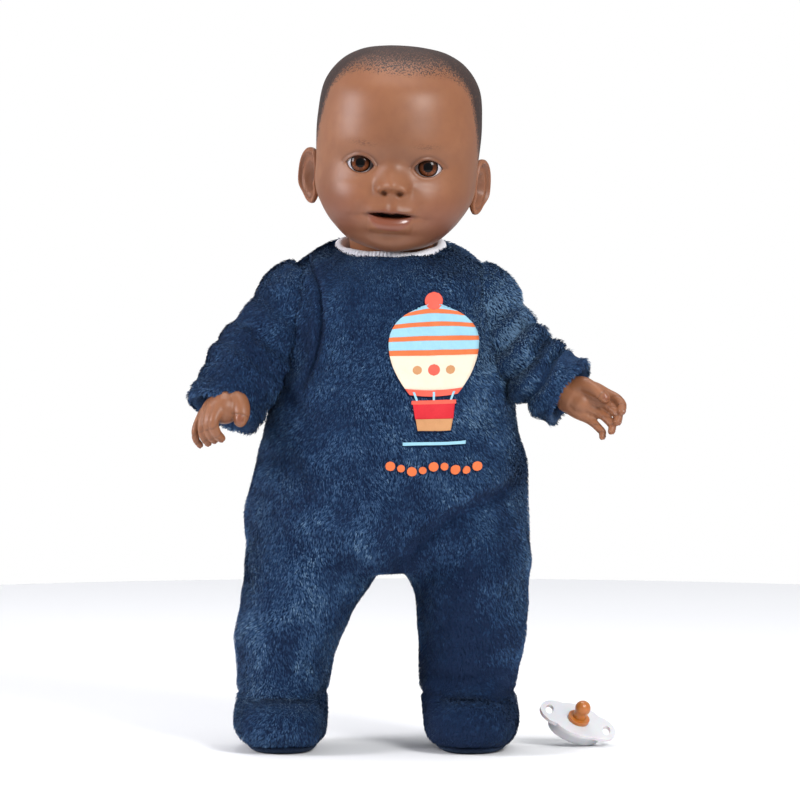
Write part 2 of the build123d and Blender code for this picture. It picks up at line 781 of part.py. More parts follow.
build_arm(-1, "right", RIGHT_CUFF, (-0.28, -0.62, -0.73), (0.93, -0.36, -0.05))
build_arm(1, "left", LEFT_CUFF, (0.62, -0.42, -0.66), (0.62, 0.78, 0.09))

# Legs: stuffed thigh, vinyl lower leg and foot, plush leg, plush foot and sole

STUFFING = SUIT + GAP
VINYL = 2.8  # wall of the hollow vinyl leg


def build_leg(side, name, levels):
    ankle = MID + side * levels[0][1]
    knee = MID + side * levels[2][1]

    with BuildPart() as suit_leg:
        add(leg_solid(levels, side, 0, True))
        add(leg_solid(levels, side, SUIT, True), mode=Mode.SUBTRACT)
    suit_leg.part.label = f"suit_leg_{name}"
    export_step(suit_leg.part, f"parts/suit_leg_{name}.step")

    with BuildPart() as thigh:
        add(leg_solid(levels, side, STUFFING, True))
        split(bisect_by=Plane.XY.offset(KNEE_Z + GAP), keep=Keep.TOP)
        with Locations((knee, 0, 0)):
            Cylinder(
                STUB_R + GAP,
                STUB_TOP + GAP,
                align=(Align.CENTER, Align.CENTER, Align.MIN),
                mode=Mode.SUBTRACT,
            )
    thigh.part.label = f"thigh_{name}"
    export_step(thigh.part, f"parts/thigh_{name}.step")

    with BuildPart() as lower_leg:
        add(leg_solid(levels, side, STUFFING, False))
        split(bisect_by=Plane.XY.offset(KNEE_Z), keep=Keep.BOTTOM)
        with Locations((knee, 0, 60)):
            Cylinder(STUB_R, STUB_TOP - 60, align=(Align.CENTER, Align.CENTER, Align.MIN))
        add(foot_solid(ankle, STUFFING, SOLE + SUIT / 2 + GAP))
        add(leg_solid(levels[:3], side, STUFFING + VINYL, False), mode=Mode.SUBTRACT)
        add(foot_solid(ankle, STUFFING + VINYL, SOLE + SUIT / 2 + GAP + VINYL), mode=Mode.SUBTRACT)
        with Locations((knee, 0, 60)):
            Cylinder(
                STUB_R - VINYL - 2,
                STUB_TOP,
                align=(Align.CENTER, Align.CENTER, Align.MIN),
                mode=Mode.SUBTRACT,
            )
        with BuildSketch(Plane.XY.offset(KNEE_Z + 3)):
            with Locations((knee, 0)):
                Circle(STUB_R + 1)
                Circle(STUB_R - 2, mode=Mode.SUBTRACT)
        extrude(amount=4, mode=Mode.SUBTRACT)
    lower_leg.part.label = f"lower_leg_{name}"
    export_step(lower_leg.part, f"parts/lower_leg_{name}.step")

    with BuildPart() as leg_tie:
        with BuildSketch(Plane.XY.offset(KNEE_Z + 3.3)):
            with Locations((knee, 0)):
                Circle(STUB_R - 0.1)
                Circle(STUB_R - 1.8, mode=Mode.SUBTRACT)
        extrude(amount=3.4)
    leg_tie.part.label = f"leg_tie_{name}"
    export_step(leg_tie.part, f"parts/leg_tie_{name}.step")

    with BuildPart() as suit_foot:
        add(foot_solid(ankle, 0, SOLE))
        add(foot_solid(ankle, SUIT, SOLE + SUIT / 2), mode=Mode.SUBTRACT)
    suit_foot.part.label = f"suit_foot_{name}"
    export_step(suit_foot.part, f"parts/suit_foot_{name}.step")

    with BuildPart() as sole:
        with BuildSketch(Plane.XY):
            with Locations((ankle, FOOT_Y)):
                RectangleRounded(2 * FOOT_HALF[0] - 4, 2 * FOOT_HALF[1] - 4, 23)
        extrude(amount=SOLE)
    sole.part.label = f"sole_{name}"
    export_step(sole.part, f"parts/sole_{name}.step")


build_leg(-1, "right", RIGHT_LEG)
build_leg(1, "left", LEFT_LEG)

# Pacifier, lying beside the left foot on its cap

pacifier_frame = Plane(origin=PACIFIER_AT, x_dir=(0.93, 0, -0.357), z_dir=(0.32, -0.45, 0.834))

with BuildPart() as pacifier_shield:
    with BuildSketch(pacifier_frame):
        SlotOverall(SHIELD_W, 23)
        Ellipse(17, SHIELD_D / 2)
        with Locations((-18, 0), (18, 0)):
            Ellipse(2.4, 4.8, mode=Mode.SUBTRACT)
        Circle(3, mode=Mode.SUBTRACT)
    extrude(amount=SHIELD_T)
pacifier_shield.part.label = "pacifier_shield"
export_step(pacifier_shield.part, "parts/pacifier_shield.step")

with BuildPart(pacifier_frame) as pacifier_teat:
    with Locations((0, 0, SHIELD_T)):
        Cylinder(6.5, 2.2, align=(Align.CENTER, Align.CENTER, Align.MIN))
        Cylinder(3.9, 8.6, align=(Align.CENTER, Align.CENTER, Align.MIN))
    with Locations((0, 0, SHIELD_T + 8.8)):
        Sphere(4.6)
    with Locations((0, 0, -1)):
        Cylinder(2.9, 3.5, align=(Align.CENTER, Align.CENTER, Align.MIN))
pacifier_teat.part.label = "pacifier_teat"
export_step(pacifier_teat.part, "parts/pacifier_teat.step")

with BuildPart() as pacifier_cap:
    with BuildSketch(pacifier_frame.offset(-8.5)):
        Ellipse(16, 11.5)
    extrude(amount=8.4)
    fillet(pacifier_cap.faces().sort_by(Axis.Z)[0].edges(), 2.5)
    with BuildSketch(pacifier_frame):
        Circle(3.1)
    extrude(amount=-1.3, mode=Mode.SUBTRACT)
pacifier_cap.part.label = "pacifier_cap"
export_step(pacifier_cap.part, "parts/pacifier_cap.step")
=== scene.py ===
import math

import bmesh
import bpy
import numpy as np
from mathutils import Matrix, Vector, noise
from mathutils.bvhtree import BVHTree


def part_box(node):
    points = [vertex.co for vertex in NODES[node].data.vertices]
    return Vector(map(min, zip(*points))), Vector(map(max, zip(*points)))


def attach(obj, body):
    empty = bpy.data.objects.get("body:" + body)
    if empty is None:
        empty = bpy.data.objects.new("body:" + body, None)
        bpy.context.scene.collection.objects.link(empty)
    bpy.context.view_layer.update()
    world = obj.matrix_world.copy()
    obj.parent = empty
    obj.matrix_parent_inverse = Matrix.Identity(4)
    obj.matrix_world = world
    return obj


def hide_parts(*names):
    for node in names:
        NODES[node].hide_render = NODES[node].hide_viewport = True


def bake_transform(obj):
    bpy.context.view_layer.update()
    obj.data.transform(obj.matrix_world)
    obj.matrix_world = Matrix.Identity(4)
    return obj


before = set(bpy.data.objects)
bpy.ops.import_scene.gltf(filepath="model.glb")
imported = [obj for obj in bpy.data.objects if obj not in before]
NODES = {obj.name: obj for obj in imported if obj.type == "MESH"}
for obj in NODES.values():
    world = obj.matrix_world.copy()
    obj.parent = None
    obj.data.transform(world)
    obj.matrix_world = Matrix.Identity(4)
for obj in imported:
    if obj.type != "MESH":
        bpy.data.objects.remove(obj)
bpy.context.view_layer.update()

SIDES = {"right": -1, "left": 1}

# ---- the doll's own lines, in millimetres
MM = 0.001
collar_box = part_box("collar")
MID = 500 * (collar_box[0][0] + collar_box[1][0])
NECK = np.array([MID, 5.0, 286.0])
HEAD_ROLL = math.radians(4)
HEAD_Y = np.array([0.0348, 0.99939, -0.00243])
HEAD_Z = np.array([math.sin(HEAD_ROLL), 0.0, math.cos(HEAD_ROLL)])
HEAD_X = np.cross(HEAD_Y, HEAD_Z)
RANDOM = np.random.default_rng(7)


# ---- shader sums
class Socket:
    """A shader value that takes part in Python sums. Each sum adds a Math node."""

    def __init__(self, paint, link):
        self.paint, self.link = paint, link

    def sum(self, operation, *values):
        return self.paint.node("ShaderNodeMath", {"operation": operation}, dict(enumerate(values)))

    def __add__(self, other):
        return self.sum("ADD", self, other)

    def __sub__(self, other):
        return self.sum("SUBTRACT", self, other)

    def __rsub__(self, other):
        return self.sum("SUBTRACT", other, self)

    def __mul__(self, other):
        return self.sum("MULTIPLY", self, other)

    __radd__, __rmul__ = __add__, __mul__

    def over(self, low, high):
        """0 below low, 1 above high and smooth between them."""
        return self.paint.node("ShaderNodeMapRange", {"interpolation_type": "SMOOTHSTEP"},
                               {"Value": self, "From Min": low, "From Max": high})


class Paint:
    """One material: the Principled shader, and one method for every other node."""

    def __init__(self, name, **constants):
        self.material = bpy.data.materials.new(name)
        self.material.use_nodes = True
        self.tree = self.material.node_tree
        self.shader = self.tree.nodes["Principled BSDF"]
        for key, value in constants.items():
            self.shader.inputs[key.replace("_", " ")].default_value = value

    def node(self, kind, settings, inputs, output=0):
        made = self.tree.nodes.new(kind)
        for key, value in settings.items():
            if key == "stops":
                ramp = made.color_ramp
                while len(ramp.elements) < len(value):
                    ramp.elements.new(0.5)
                for element, (at, colour) in zip(ramp.elements, value):
                    element.position, element.color = at, colour
            else:
                setattr(made, key, value)
        for key, value in inputs.items():
            self.put(made.inputs[key], value)
        return Socket(self, made.outputs[output])

    def put(self, socket, value):
        if isinstance(value, Socket):
            self.tree.links.new(value.link, socket)
        else:
            socket.default_value = value

    def feed(self, **inputs):
        for key, value in inputs.items():
            self.put(self.shader.inputs[key.replace("_", " ")], value)
        return self.material

    def place(self):
        return self.node("ShaderNodeTexCoord", {}, {}, "Object")

    def stretched(self, scale, turn=(0, 0, 0)):
        return self.node("ShaderNodeMapping", {},
                         {"Vector": self.place(), "Scale": scale, "Rotation": turn})

    def speckle(self, scale, detail=2.0, rough=0.5, vector=None):
        inputs = {"Vector": vector or self.place(), "Scale": scale, "Detail": detail,
                  "Roughness": rough}
        return self.node("ShaderNodeTexNoise", {}, inputs, "Fac")

    def cells(self, scale, vector):
        return self.node("ShaderNodeTexVoronoi", {}, {"Vector": vector, "Scale": scale}, "Distance")

    def marked(self, name):
        return self.node("ShaderNodeAttribute", {"attribute_name": name}, {}, "Fac")

    def blended(self, amount, first, second):
        return self.node("ShaderNodeMix", {"data_type": "RGBA"},
                         {0: amount, 6: first, 7: second}, 2)

    def raised(self, height, strength, depth):
        return self.node("ShaderNodeBump", {},
                         {"Height": height, "Strength": strength, "Distance": depth}, "Normal")


def tone(red, green, blue):
    """A display colour, 0 to 255, as the linear value a shader takes."""
    def linear(c):
        return c / 255 / 12.92 if c < 11 else ((c / 255 + 0.055) / 1.055) ** 2.4
    return (linear(red), linear(green), linear(blue), 1)


# ---- finishes
def vinyl_skin():
    p = Paint("skin_vinyl", Specular_IOR_Level=0.42, Subsurface_Weight=0.06, Subsurface_Scale=0.004)
    p.shader.inputs["Subsurface Radius"].default_value = (1.0, 0.35, 0.2)
    broad, fine, pores = p.speckle(22, 3), p.speckle(180, 2), p.speckle(1500, 1)
    colour = p.blended(broad.over(0.35, 0.7), tone(134, 86, 57), tone(148, 98, 67))
    colour = p.blended(fine.over(0.3, 0.8) * 0.35, colour, tone(126, 78, 54))
    colour = p.blended(p.marked("blush") * 0.5, colour, tone(120, 62, 44))
    # painted shade, from the shade mark: darker in creases, hollows, round the lids and lips and
    # under the chin
    colour = p.blended(p.marked("shade") * 0.8, colour, tone(80, 47, 32))
    lip = p.marked("lip")
    colour = p.blended(lip * (0.6 + 0.25 * fine), colour, tone(118, 60, 42))
    colour = p.blended(p.marked("inside"), colour, tone(66, 32, 24))
    hair, strand = p.marked("hair"), p.speckle(1500, 2, 0.65, p.stretched((1, 1, 0.62)))
    curl = p.cells(1000, p.stretched((1, 1, 0.75), (0.4, 0.2, 0)))
    fleck = (strand * 0.8 + curl * 0.4 + hair * 0.34 - 0.68).over(0.0, 0.18)
    veil = hair.over(0.25, 1.0)
    colour = p.blended(veil * 0.74, colour, tone(88, 63, 50))
    colour = p.blended(fleck * hair.over(0.02, 0.3), colour, tone(46, 31, 27))
    brow_hair = p.speckle(1400, 1, 0.5, p.stretched((0.5, 1, 1.6), (0, 0.35, 0)))
    brow = p.marked("brow") * brow_hair.over(0.42, 0.6)
    colour = p.blended(brow * 0.6, colour, tone(70, 42, 32))
    rough = 0.42 + 0.06 * broad + 0.34 * veil - 0.16 * lip
    height = 0.25 * pores + fleck * hair * 0.8
    return p.feed(Base_Color=colour, Roughness=rough, Coat_Weight=lip * 0.35,
                  Normal=p.raised(height, 0.35, 0.0004))


def plush(name, deep, pale, scale=1.0):
    p = Paint(name, Specular_IOR_Level=0.12, Sheen_Weight=0.25, Sheen_Roughness=0.5)
    p.shader.inputs["Sheen Tint"].default_value = tone(120, 150, 185)
    cloud = p.speckle(38 * scale, 3, 0.6)
    streak = p.speckle(900 * scale, 2, 0.6, p.stretched((1, 1, 0.35), (0.15, 0.3, 0)))
    fibre = p.speckle(2600 * scale, 1, 0.5, p.stretched((1, 1, 0.3), (0.1, -0.35, 0)))
    shade = (0.5 * streak + 0.3 * fibre + 0.35 * cloud).over(0.42, 0.75)
    colour = p.blended(shade, deep, pale)
    return p.feed(Base_Color=p.blended(p.marked("seam") * 0.85, colour, tone(8, 16, 34)),
                  Roughness=0.85 + 0.1 * cloud, Normal=p.raised(streak + 0.5 * fibre, 0.7, 0.0012))


def pile(name, colour, sheen):
    p = Paint(name, Roughness=0.7, Specular_IOR_Level=0.18, Sheen_Weight=sheen, Sheen_Roughness=0.4)
    p.shader.inputs["Sheen Tint"].default_value = tone(150, 175, 200)
    return p.feed(Base_Color=colour)


def knit():
    p = Paint("collar_knit", Specular_IOR_Level=0.2, Sheen_Weight=0.3)
    loops = p.cells(1500, p.stretched((1, 1, 0.7)))
    soil = p.speckle(60, 3)
    colour = p.blended(soil.over(0.3, 0.8) * 0.6, tone(246, 245, 247), tone(222, 222, 228))
    colour = p.blended(loops.over(0.0, 0.5) * 0.35, colour, tone(196, 198, 208))
    return p.feed(Base_Color=colour, Roughness=0.9 - 0.1 * loops,
                  Normal=p.raised(loops, 0.6, 0.0004))


def film(name, colour, worn):
    p = Paint(name, Specular_IOR_Level=0.3)
    mottle, grain = p.speckle(160, 3), p.speckle(1300, 2)
    shade = p.blended((0.6 * mottle + 0.4 * grain).over(0.35, 0.75) * 0.5, colour, worn)
    return p.feed(Base_Color=shade, Roughness=0.55 + 0.15 * mottle,
                  Normal=p.raised(grain + mottle, 0.35, 0.0005))


def moulded(name, colour, dark, rough=0.35, **constants):
    p = Paint(name, **constants)
    cloud, grain = p.speckle(55, 3), p.speckle(1600, 2)
    shade = p.blended(cloud.over(0.3, 0.75) * 0.45, colour, dark)
    return p.feed(Base_Color=shade, Roughness=rough + 0.12 * cloud + 0.05 * grain,
                  Normal=p.raised(grain + 0.4 * cloud, 0.12, 0.0004))


def metal(name, colour, dark):
    p = Paint(name, Metallic=1.0)
    brushed = p.speckle(700, 2, 0.6, p.stretched((0.15, 1, 1)))
    return p.feed(Base_Color=p.blended(brushed, colour, dark), Roughness=0.22 + 0.25 * brushed,
                  Normal=p.raised(brushed, 0.2, 0.0002))


def woven(name, colour, dark):
    p = Paint(name, Specular_IOR_Level=0.15, Sheen_Weight=0.15)
    warp, weft = (p.node("ShaderNodeTexWave", {"bands_direction": axis},
                         {"Vector": p.place(), "Scale": 420, "Distortion": 1.5}, "Fac")
                  for axis in "XZ")
    weave = warp * weft
    return p.feed(Base_Color=p.blended(weave * 0.6 + p.speckle(40) * 0.3, dark, colour),
                  Roughness=0.85 + 0.1 * weft, Normal=p.raised(weave, 0.5, 0.0004))


def eye_paint():
    p = Paint("eye_iris", Specular_IOR_Level=0.03, Coat_Weight=0.7, Coat_Roughness=0.015,
              Coat_IOR=1.3)
    ring, turn = p.marked("ring"), p.marked("turn")
    along = p.node("ShaderNodeCombineXYZ", {}, {0: turn * 26, 1: ring * 1.6})
    fibre = p.speckle(1.6, 3, 0.65, along)
    brown = p.blended(fibre.over(0.35, 0.68), tone(50, 22, 11), tone(124, 66, 34))
    brown = p.blended(ring.over(0.52, 0.8) * 0.3, brown, tone(96, 56, 30))
    colour = p.blended(ring.over(0.78, 0.92), brown, tone(14, 6, 4))
    # painted shadow of the upper lid over the top of the iris
    colour = p.blended(p.marked("lidded") * 0.85, colour, tone(12, 6, 4))
    colour = p.blended(1 - ring.over(0.44, 0.51), colour, tone(2, 1, 1))
    return p.feed(Base_Color=colour, Roughness=0.25 + 0.1 * fibre)


def eye_white():
    p = Paint("eye_white", Specular_IOR_Level=0.3, Coat_Weight=0.7, Coat_Roughness=0.04,
              Subsurface_Weight=0.05)
    cloud = p.speckle(240, 3)
    colour = p.blended(cloud.over(0.3, 0.8) * 0.4, tone(188, 180, 183), tone(160, 146, 148))
    return p.feed(Base_Color=colour, Roughness=0.22 + 0.1 * cloud)


SKIN = vinyl_skin()
PLUSH = plush("plush_navy", tone(12, 26, 52), tone(36, 62, 96))
SOLE = plush("plush_sole", tone(10, 18, 36), tone(24, 38, 62), 1.4)
SHADES = [pile("pile_deep", tone(15, 36, 68), 0.10), pile("pile_mid", tone(36, 64, 100), 0.25),
          pile("pile_pale", tone(58, 88, 124), 0.35), pile("pile_tip", tone(92, 122, 152), 0.45)]
KNIT = knit()
FILMS = {
    "sky": film("film_sky", tone(150, 198, 216), tone(128, 180, 202)),
    "orange": film("film_orange", tone(218, 112, 62), tone(202, 94, 50)),
    "cream": film("film_cream", tone(232, 216, 194), tone(218, 198, 174)),
    "coral": film("film_coral", tone(228, 92, 74), tone(210, 76, 60)),
    "red": film("film_red", tone(206, 34, 46), tone(184, 24, 38)),
    "tan": film("film_tan", tone(196, 142, 96), tone(176, 122, 78)),
}
THREAD = moulded("navy_thread", tone(30, 48, 84), tone(16, 30, 58), 0.6)
SHIELD = moulded("shield_white", tone(214, 214, 217), tone(198, 200, 205), 0.26,
                 Subsurface_Weight=0.35, Subsurface_Scale=0.006, Coat_Weight=0.3)
LATEX = moulded("teat_latex", tone(182, 110, 42), tone(142, 74, 22), 0.28,
                Subsurface_Weight=0.4, Subsurface_Scale=0.006, Coat_Weight=0.4)
INNER = {
    "stuffing_cloth": woven("stuffing_cloth", tone(150, 106, 80), tone(112, 74, 54)),
    "nylon_tie": moulded("nylon_tie", tone(222, 220, 212), tone(196, 192, 182), 0.4),
    "case_plastic": moulded("case_plastic", tone(206, 206, 200), tone(182, 182, 176), 0.42),
    "board": moulded("board", tone(22, 92, 52), tone(12, 60, 34), 0.4),
    "chip_black": moulded("chip_black", tone(26, 26, 28), tone(14, 14, 16), 0.5),
    "speaker_cone": moulded("speaker_cone", tone(46, 46, 50), tone(24, 24, 28), 0.7),
    "cell": metal("cell", tone(196, 160, 92), tone(92, 92, 96)),
    "steel": metal("steel", tone(206, 206, 210), tone(150, 150, 156)),
    "lead_jacket": moulded("lead_jacket", tone(40, 40, 44), tone(20, 20, 24), 0.45),
    "switch_black": moulded("switch_black", tone(34, 34, 38), tone(18, 18, 20), 0.35),
    "mouth_lining": moulded("mouth_lining", tone(66, 28, 22), tone(40, 16, 12), 0.45),
    "skin_vinyl": SKIN, "plush_navy": PLUSH, "plush_sole": SOLE, "collar_knit": KNIT,
    "print_film": FILMS["cream"], "teat_latex": LATEX, "shield_white": SHIELD,
    "eye_white": eye_white(), "eye_iris": eye_paint(), "eye_lens": eye_white(),
}


# ---- mesh helpers
def through(keys, count):
    """count rows evenly spaced along a smooth line through the keys."""
    keys = np.asarray(keys, float)
    gaps = np.linalg.norm(np.diff(keys, axis=0), axis=1)
    at = np.concatenate([[0], np.cumsum(gaps)])
    slopes = np.gradient(keys, at, axis=0)
    s = np.linspace(0, at[-1], count)
    i = np.clip(np.searchsorted(at, s, "right") - 1, 0, len(gaps) - 1)
    h = gaps[i][:, None]
    u = (s - at[i])[:, None] / h
    return ((2 * u**3 - 3 * u**2 + 1) * keys[i] + (u**3 - 2 * u**2 + u) * h * slopes[i]
            + (3 * u**2 - 2 * u**3) * keys[i + 1] + (u**3 - u**2) * h * slopes[i + 1])


def smooth_step(value, low, high):
    u = np.clip((value - low) / (high - low), 0, 1)
    return u * u * (3 - 2 * u)


def unit(v):
    v = np.asarray(v, float)
    return v / np.linalg.norm(v, axis=-1, keepdims=True)


def hump(x, z, cx, cz, wide, up, down=None):
    """A soft hill of height 1, with its own spread above and below its middle."""
    dz = z - cz
    spread = up if down is None else np.where(dz > 0, up, down)
    return np.exp(-0.5 * ((x - cx) / wide) ** 2 - 0.5 * (dz / spread) ** 2)


def make(name, points, faces, material):
    """A mesh object from points in millimetres."""
    mesh = bpy.data.meshes.new(name)
    points = np.asarray(points, float).reshape(-1, 3) * MM
    faces = faces.tolist() if isinstance(faces, np.ndarray) else faces
    mesh.from_pydata(points.tolist(), [], faces)
    mesh.polygons.foreach_set("use_smooth", [True] * len(mesh.polygons))
    mesh.materials.append(material)
    mesh.update()
    piece = bpy.data.objects.new(name, mesh)
    bpy.context.scene.collection.objects.link(piece)
    return piece


def grid_faces(rows, columns, around=True):
    """Quads between rows of points, closed round if around."""
    last = columns if around else columns - 1
    r, c = np.meshgrid(np.arange(rows - 1), np.arange(last), indexing="ij")
    a = r * columns + c
    b = r * columns + (c + 1) % columns
    return np.stack([a, b, b + columns, a + columns], -1).reshape(-1, 4)


def skinned(name, rings, material):
    """A closed body from rings of points, each rings[i] one turn round it."""
    rows, columns = rings.shape[:2]
    points = np.vstack([rings.reshape(-1, 3), rings[0].mean(0), rings[-1].mean(0)])
    faces = grid_faces(rows, columns).tolist()
    low, high = rows * columns, rows * columns + 1
    base = (rows - 1) * columns
    for c in range(columns):
        d = (c + 1) % columns
        faces.append((d, c, low))
        faces.append((base + c, base + d, high))
    return make(name, points, faces, material)


def oval_rings(rows, around, power=2.0):
    """Level rings from rows of (z, x, y, half width, half depth)."""
    turn = np.linspace(0, 2 * math.pi, around, endpoint=False)
    c, s = np.cos(turn), np.sin(turn)
    c, s = np.sign(c) * np.abs(c) ** (2 / power), np.sign(s) * np.abs(s) ** (2 / power)
    z, x, y, wide, deep = np.asarray(rows).T[:, :, None]
    return np.stack([x + wide * c, y + deep * s, z + 0 * c], -1)


def sides_along(path):
    """Two steady side directions all along a path."""
    along = unit(np.gradient(path, axis=0))
    side = np.empty_like(along)
    last = np.cross(along[0], (0, 1, 0))
    for i, a in enumerate(along):
        last = unit(last - a * (last @ a))
        side[i] = last
    return side, np.cross(along, side)


def tube_rings(keys, count, around, swell=None):
    """Rings round a line through keys of (x, y, z, radius)."""
    rows = through(keys, count)
    side, other = sides_along(rows[:, :3])
    turn = np.linspace(0, 2 * math.pi, around, endpoint=False)
    radius = rows[:, 3][:, None]
    if swell is not None:
        radius = radius + swell(np.linspace(0, 1, count)[:, None], turn[None])
    out = np.cos(turn)[None, :, None] * side[:, None] + np.sin(turn)[None, :, None] * other[:, None]
    return rows[:, None, :3] + radius[..., None] * out


def settled(piece):
    """The piece's mesh with its modifiers worked in."""
    graph = bpy.context.evaluated_depsgraph_get()
    graph.update()
    mesh = bpy.data.meshes.new_from_object(piece.evaluated_get(graph))
    old = piece.data
    piece.modifiers.clear()
    piece.data = mesh
    bpy.data.meshes.remove(old)
    mesh.name = piece.name
    return piece


def modified(piece, kind, **settings):
    m = piece.modifiers.new(kind.lower(), kind)
    for key, value in settings.items():
        setattr(m, key, value)
    return settled(piece)


def joined(name, parts):
    """One object from several."""
    points, faces, base = [], [], 0
    for part in parts:
        mesh = part.data
        points += [v.co[:] for v in mesh.vertices]
        faces += [[base + i for i in f.vertices] for f in mesh.polygons]
        base += len(mesh.vertices)
    whole = make(name, np.array(points) / MM, faces, parts[0].data.materials[0])
    for part in parts:
        old = part.data
        bpy.data.objects.remove(part)
        bpy.data.meshes.remove(old)
    return whole


def fused(name, parts, voxel):
    """Overlapping closed bodies as one skin."""
    whole = modified(joined(name, parts), "REMESH", mode="VOXEL", voxel_size=voxel * MM,
                     use_smooth_shade=True)
    whole.data.polygons.foreach_set("use_smooth", [True] * len(whole.data.polygons))
    return whole


def points_of(piece):
    co = np.empty(len(piece.data.vertices) * 3)
    piece.data.vertices.foreach_get("co", co)
    return co.reshape(-1, 3) / MM


def normals_of(piece):
    n = np.empty(len(piece.data.vertices) * 3)
    piece.data.vertices.foreach_get("normal", n)
    return n.reshape(-1, 3)


def move_points(piece, points):
    piece.data.vertices.foreach_set("co", (points * MM).ravel())
    piece.data.update()


def mark(piece, name, values):
    """Stores one number for each point, which a finish reads."""
    held = piece.data.attributes.get(name) or piece.data.attributes.new(name, "FLOAT", "POINT")
    held.data.foreach_set("value", np.asarray(values, np.float32))


def unmarked(piece, *names):
    """Marks that the piece's finish reads and that this piece has none of."""
    for name in names:
        mark(piece, name, np.zeros(len(piece.data.vertices)))


def plumped(piece, pressure, frames, cap):
    """Blows the skin up as filled cloth, and holds each point within cap of where it was."""
    before = points_of(piece)
    cloth = piece.modifiers.new("cloth", "CLOTH")
    cloth.settings.use_pressure = True
    cloth.settings.uniform_pressure_force = pressure
    cloth.settings.effector_weights.gravity = 0
    cloth.settings.tension_stiffness = cloth.settings.compression_stiffness = 15
    cloth.settings.bending_stiffness = 0.5
    cloth.point_cache.frame_end = frames
    scene = bpy.context.scene
    for f in range(1, frames + 1):
        scene.frame_set(f)
    settled(piece)
    shift = points_of(piece) - before
    size = np.linalg.norm(shift, axis=1, keepdims=True)
    move_points(piece, before + shift * np.minimum(1, cap / np.maximum(size, 1e-6)))
    scene.frame_set(1)
    return piece


def rumple(points, scale, seed):
    """Slow noise, one number for each point, about -1 to 1."""
    return np.array([noise.noise(Vector(p) / scale + Vector((seed, 0, 0))) for p in points]) * 1.6


# ---- the head
# rows: height above the neck top, fore and aft middle, half width, half depth
SKULL = [
    (8.6, -15, 0.5, 0.5), (9.2, -15.5, 9, 9), (11, -16, 17, 18), (14, -15, 24.5, 25.5),
    (21, -12, 33, 34.5), (28, -9, 39, 42), (42, -6, 46.4, 49.5), (60, -4, 47.6, 53),
    (85, -2, 48.4, 56), (106, 0, 45.3, 52.5), (112, 1, 42, 48.5), (118.5, 1.5, 36.3, 42.5),
    (124.4, 2, 26.5, 31.5), (127.4, 2.6, 13, 16), (128.1, 3, 0.5, 0.6),
]
# rows: across, height, spread across, spread up, spread down, rise; one off the middle is on both
# sides
FACE = [
    (18, 72.5, 13, 5, 6, 0.9), (19.5, 60.4, 11, 8, 8, -2.4), (10.0, 60.3, 6, 6, 6, -1.2),
    (0, 62.6, 6, 9, 6, -0.8), (0, 55.2, 5.0, 7, 5, 1.4), (0, 50.8, 4.7, 5.2, 3.2, 5.8),
    (0, 49.2, 3.6, 3.0, 2.4, 2.0), (7.1, 47.7, 2.3, 2.6, 2.0, 3.8),
    (10.6, 47.4, 1.7, 1.9, 2.2, -1.1), (4.5, 45.2, 1.5, 1.1, 1.1, -3.8),
    (0, 40.5, 1.6, 3, 3.5, -0.5), (2.8, 39.5, 1.4, 3, 3.5, 0.25), (0, 33, 15, 8, 9, 3.0),
    (27, 36, 12, 13, 12, 3.6), (17.0, 33.0, 2.4, 3.6, 3.6, -1.5), (0, 21.2, 8.5, 1.9, 2.2, -1.7),
    (0, 15.2, 8.5, 4.2, 5, 3.2), (18, 51.4, 9, 1.4, 1.6, -0.35), (13.2, 42.0, 2.8, 5, 6, -0.6),
]
# rows of painted shade: across, height, spread across, spread up, spread down, amount
PAINTED_SHADE_SPOTS = [
    (0, 9, 32, 9, 20, 0.66), (32, 20, 14, 14, 20, 0.42), (0, 65, 10, 12, 4, 0.44),
    (0, 82, 22, 14, 12, 0.22), (40, 46, 9, 20, 16, 0.16), (24, 66.5, 7, 4, 5, 0.20),
    (11, 63, 4, 4, 4, 0.22), (10.8, 47.6, 2.2, 3, 3, 0.18), (0, 40, 5, 3, 3, 0.10),
]
EYE_X, EYE_Y, EYE_T, EYE_TILT = 19.6, -42.0, 60.3, math.radians(3.5)
EYE_IN, EYE_OUT = 7.9, 8.5              # half widths of the opening, towards the nose and away
BALL, IRIS = 8.9, 5.9                   # radii
MOUTH_T, MOUTH_HALF = 32.2, 13.9
SKIN_MARKS = ("hair", "blush", "lip", "shade", "inside", "brow")


def eye_rim(count=120):
    """The lids' edge round one eye as (outward, up), from the inner corner over the top."""
    u = np.concatenate([np.linspace(-EYE_IN, EYE_OUT, count),
                        np.linspace(EYE_OUT, -EYE_IN, count)[1:-1]])
    w = np.where(u < 0, u / EYE_IN, u / EYE_OUT)
    top = 4.9 * (1 - np.abs(w) ** 2.1) ** 0.85
    low = -4.9 * (1 - np.abs(w) ** 2.2) ** 0.8
    v = np.concatenate([top[:count], low[count:]])
    c, s = math.cos(EYE_TILT), math.sin(EYE_TILT)
    return np.stack([u * c - v * s, u * s + v * c], 1)


def lip_rim(count=140):
    """The edge of the open mouth as (across, up)."""
    x = np.concatenate([np.linspace(-MOUTH_HALF, MOUTH_HALF, count),
                        np.linspace(MOUTH_HALF, -MOUTH_HALF, count)[1:-1]])
    w = np.abs(x / MOUTH_HALF)
    top = 1.9 * (1 - w**2) ** 0.75 - 0.6 * np.exp(-0.5 * (x / 2.4) ** 2)
    low = -2.5 * (1 - w**2.4) ** 0.9 + 0.1 * w
    return np.stack([x, np.concatenate([top[:count], low[count:]])], 1)


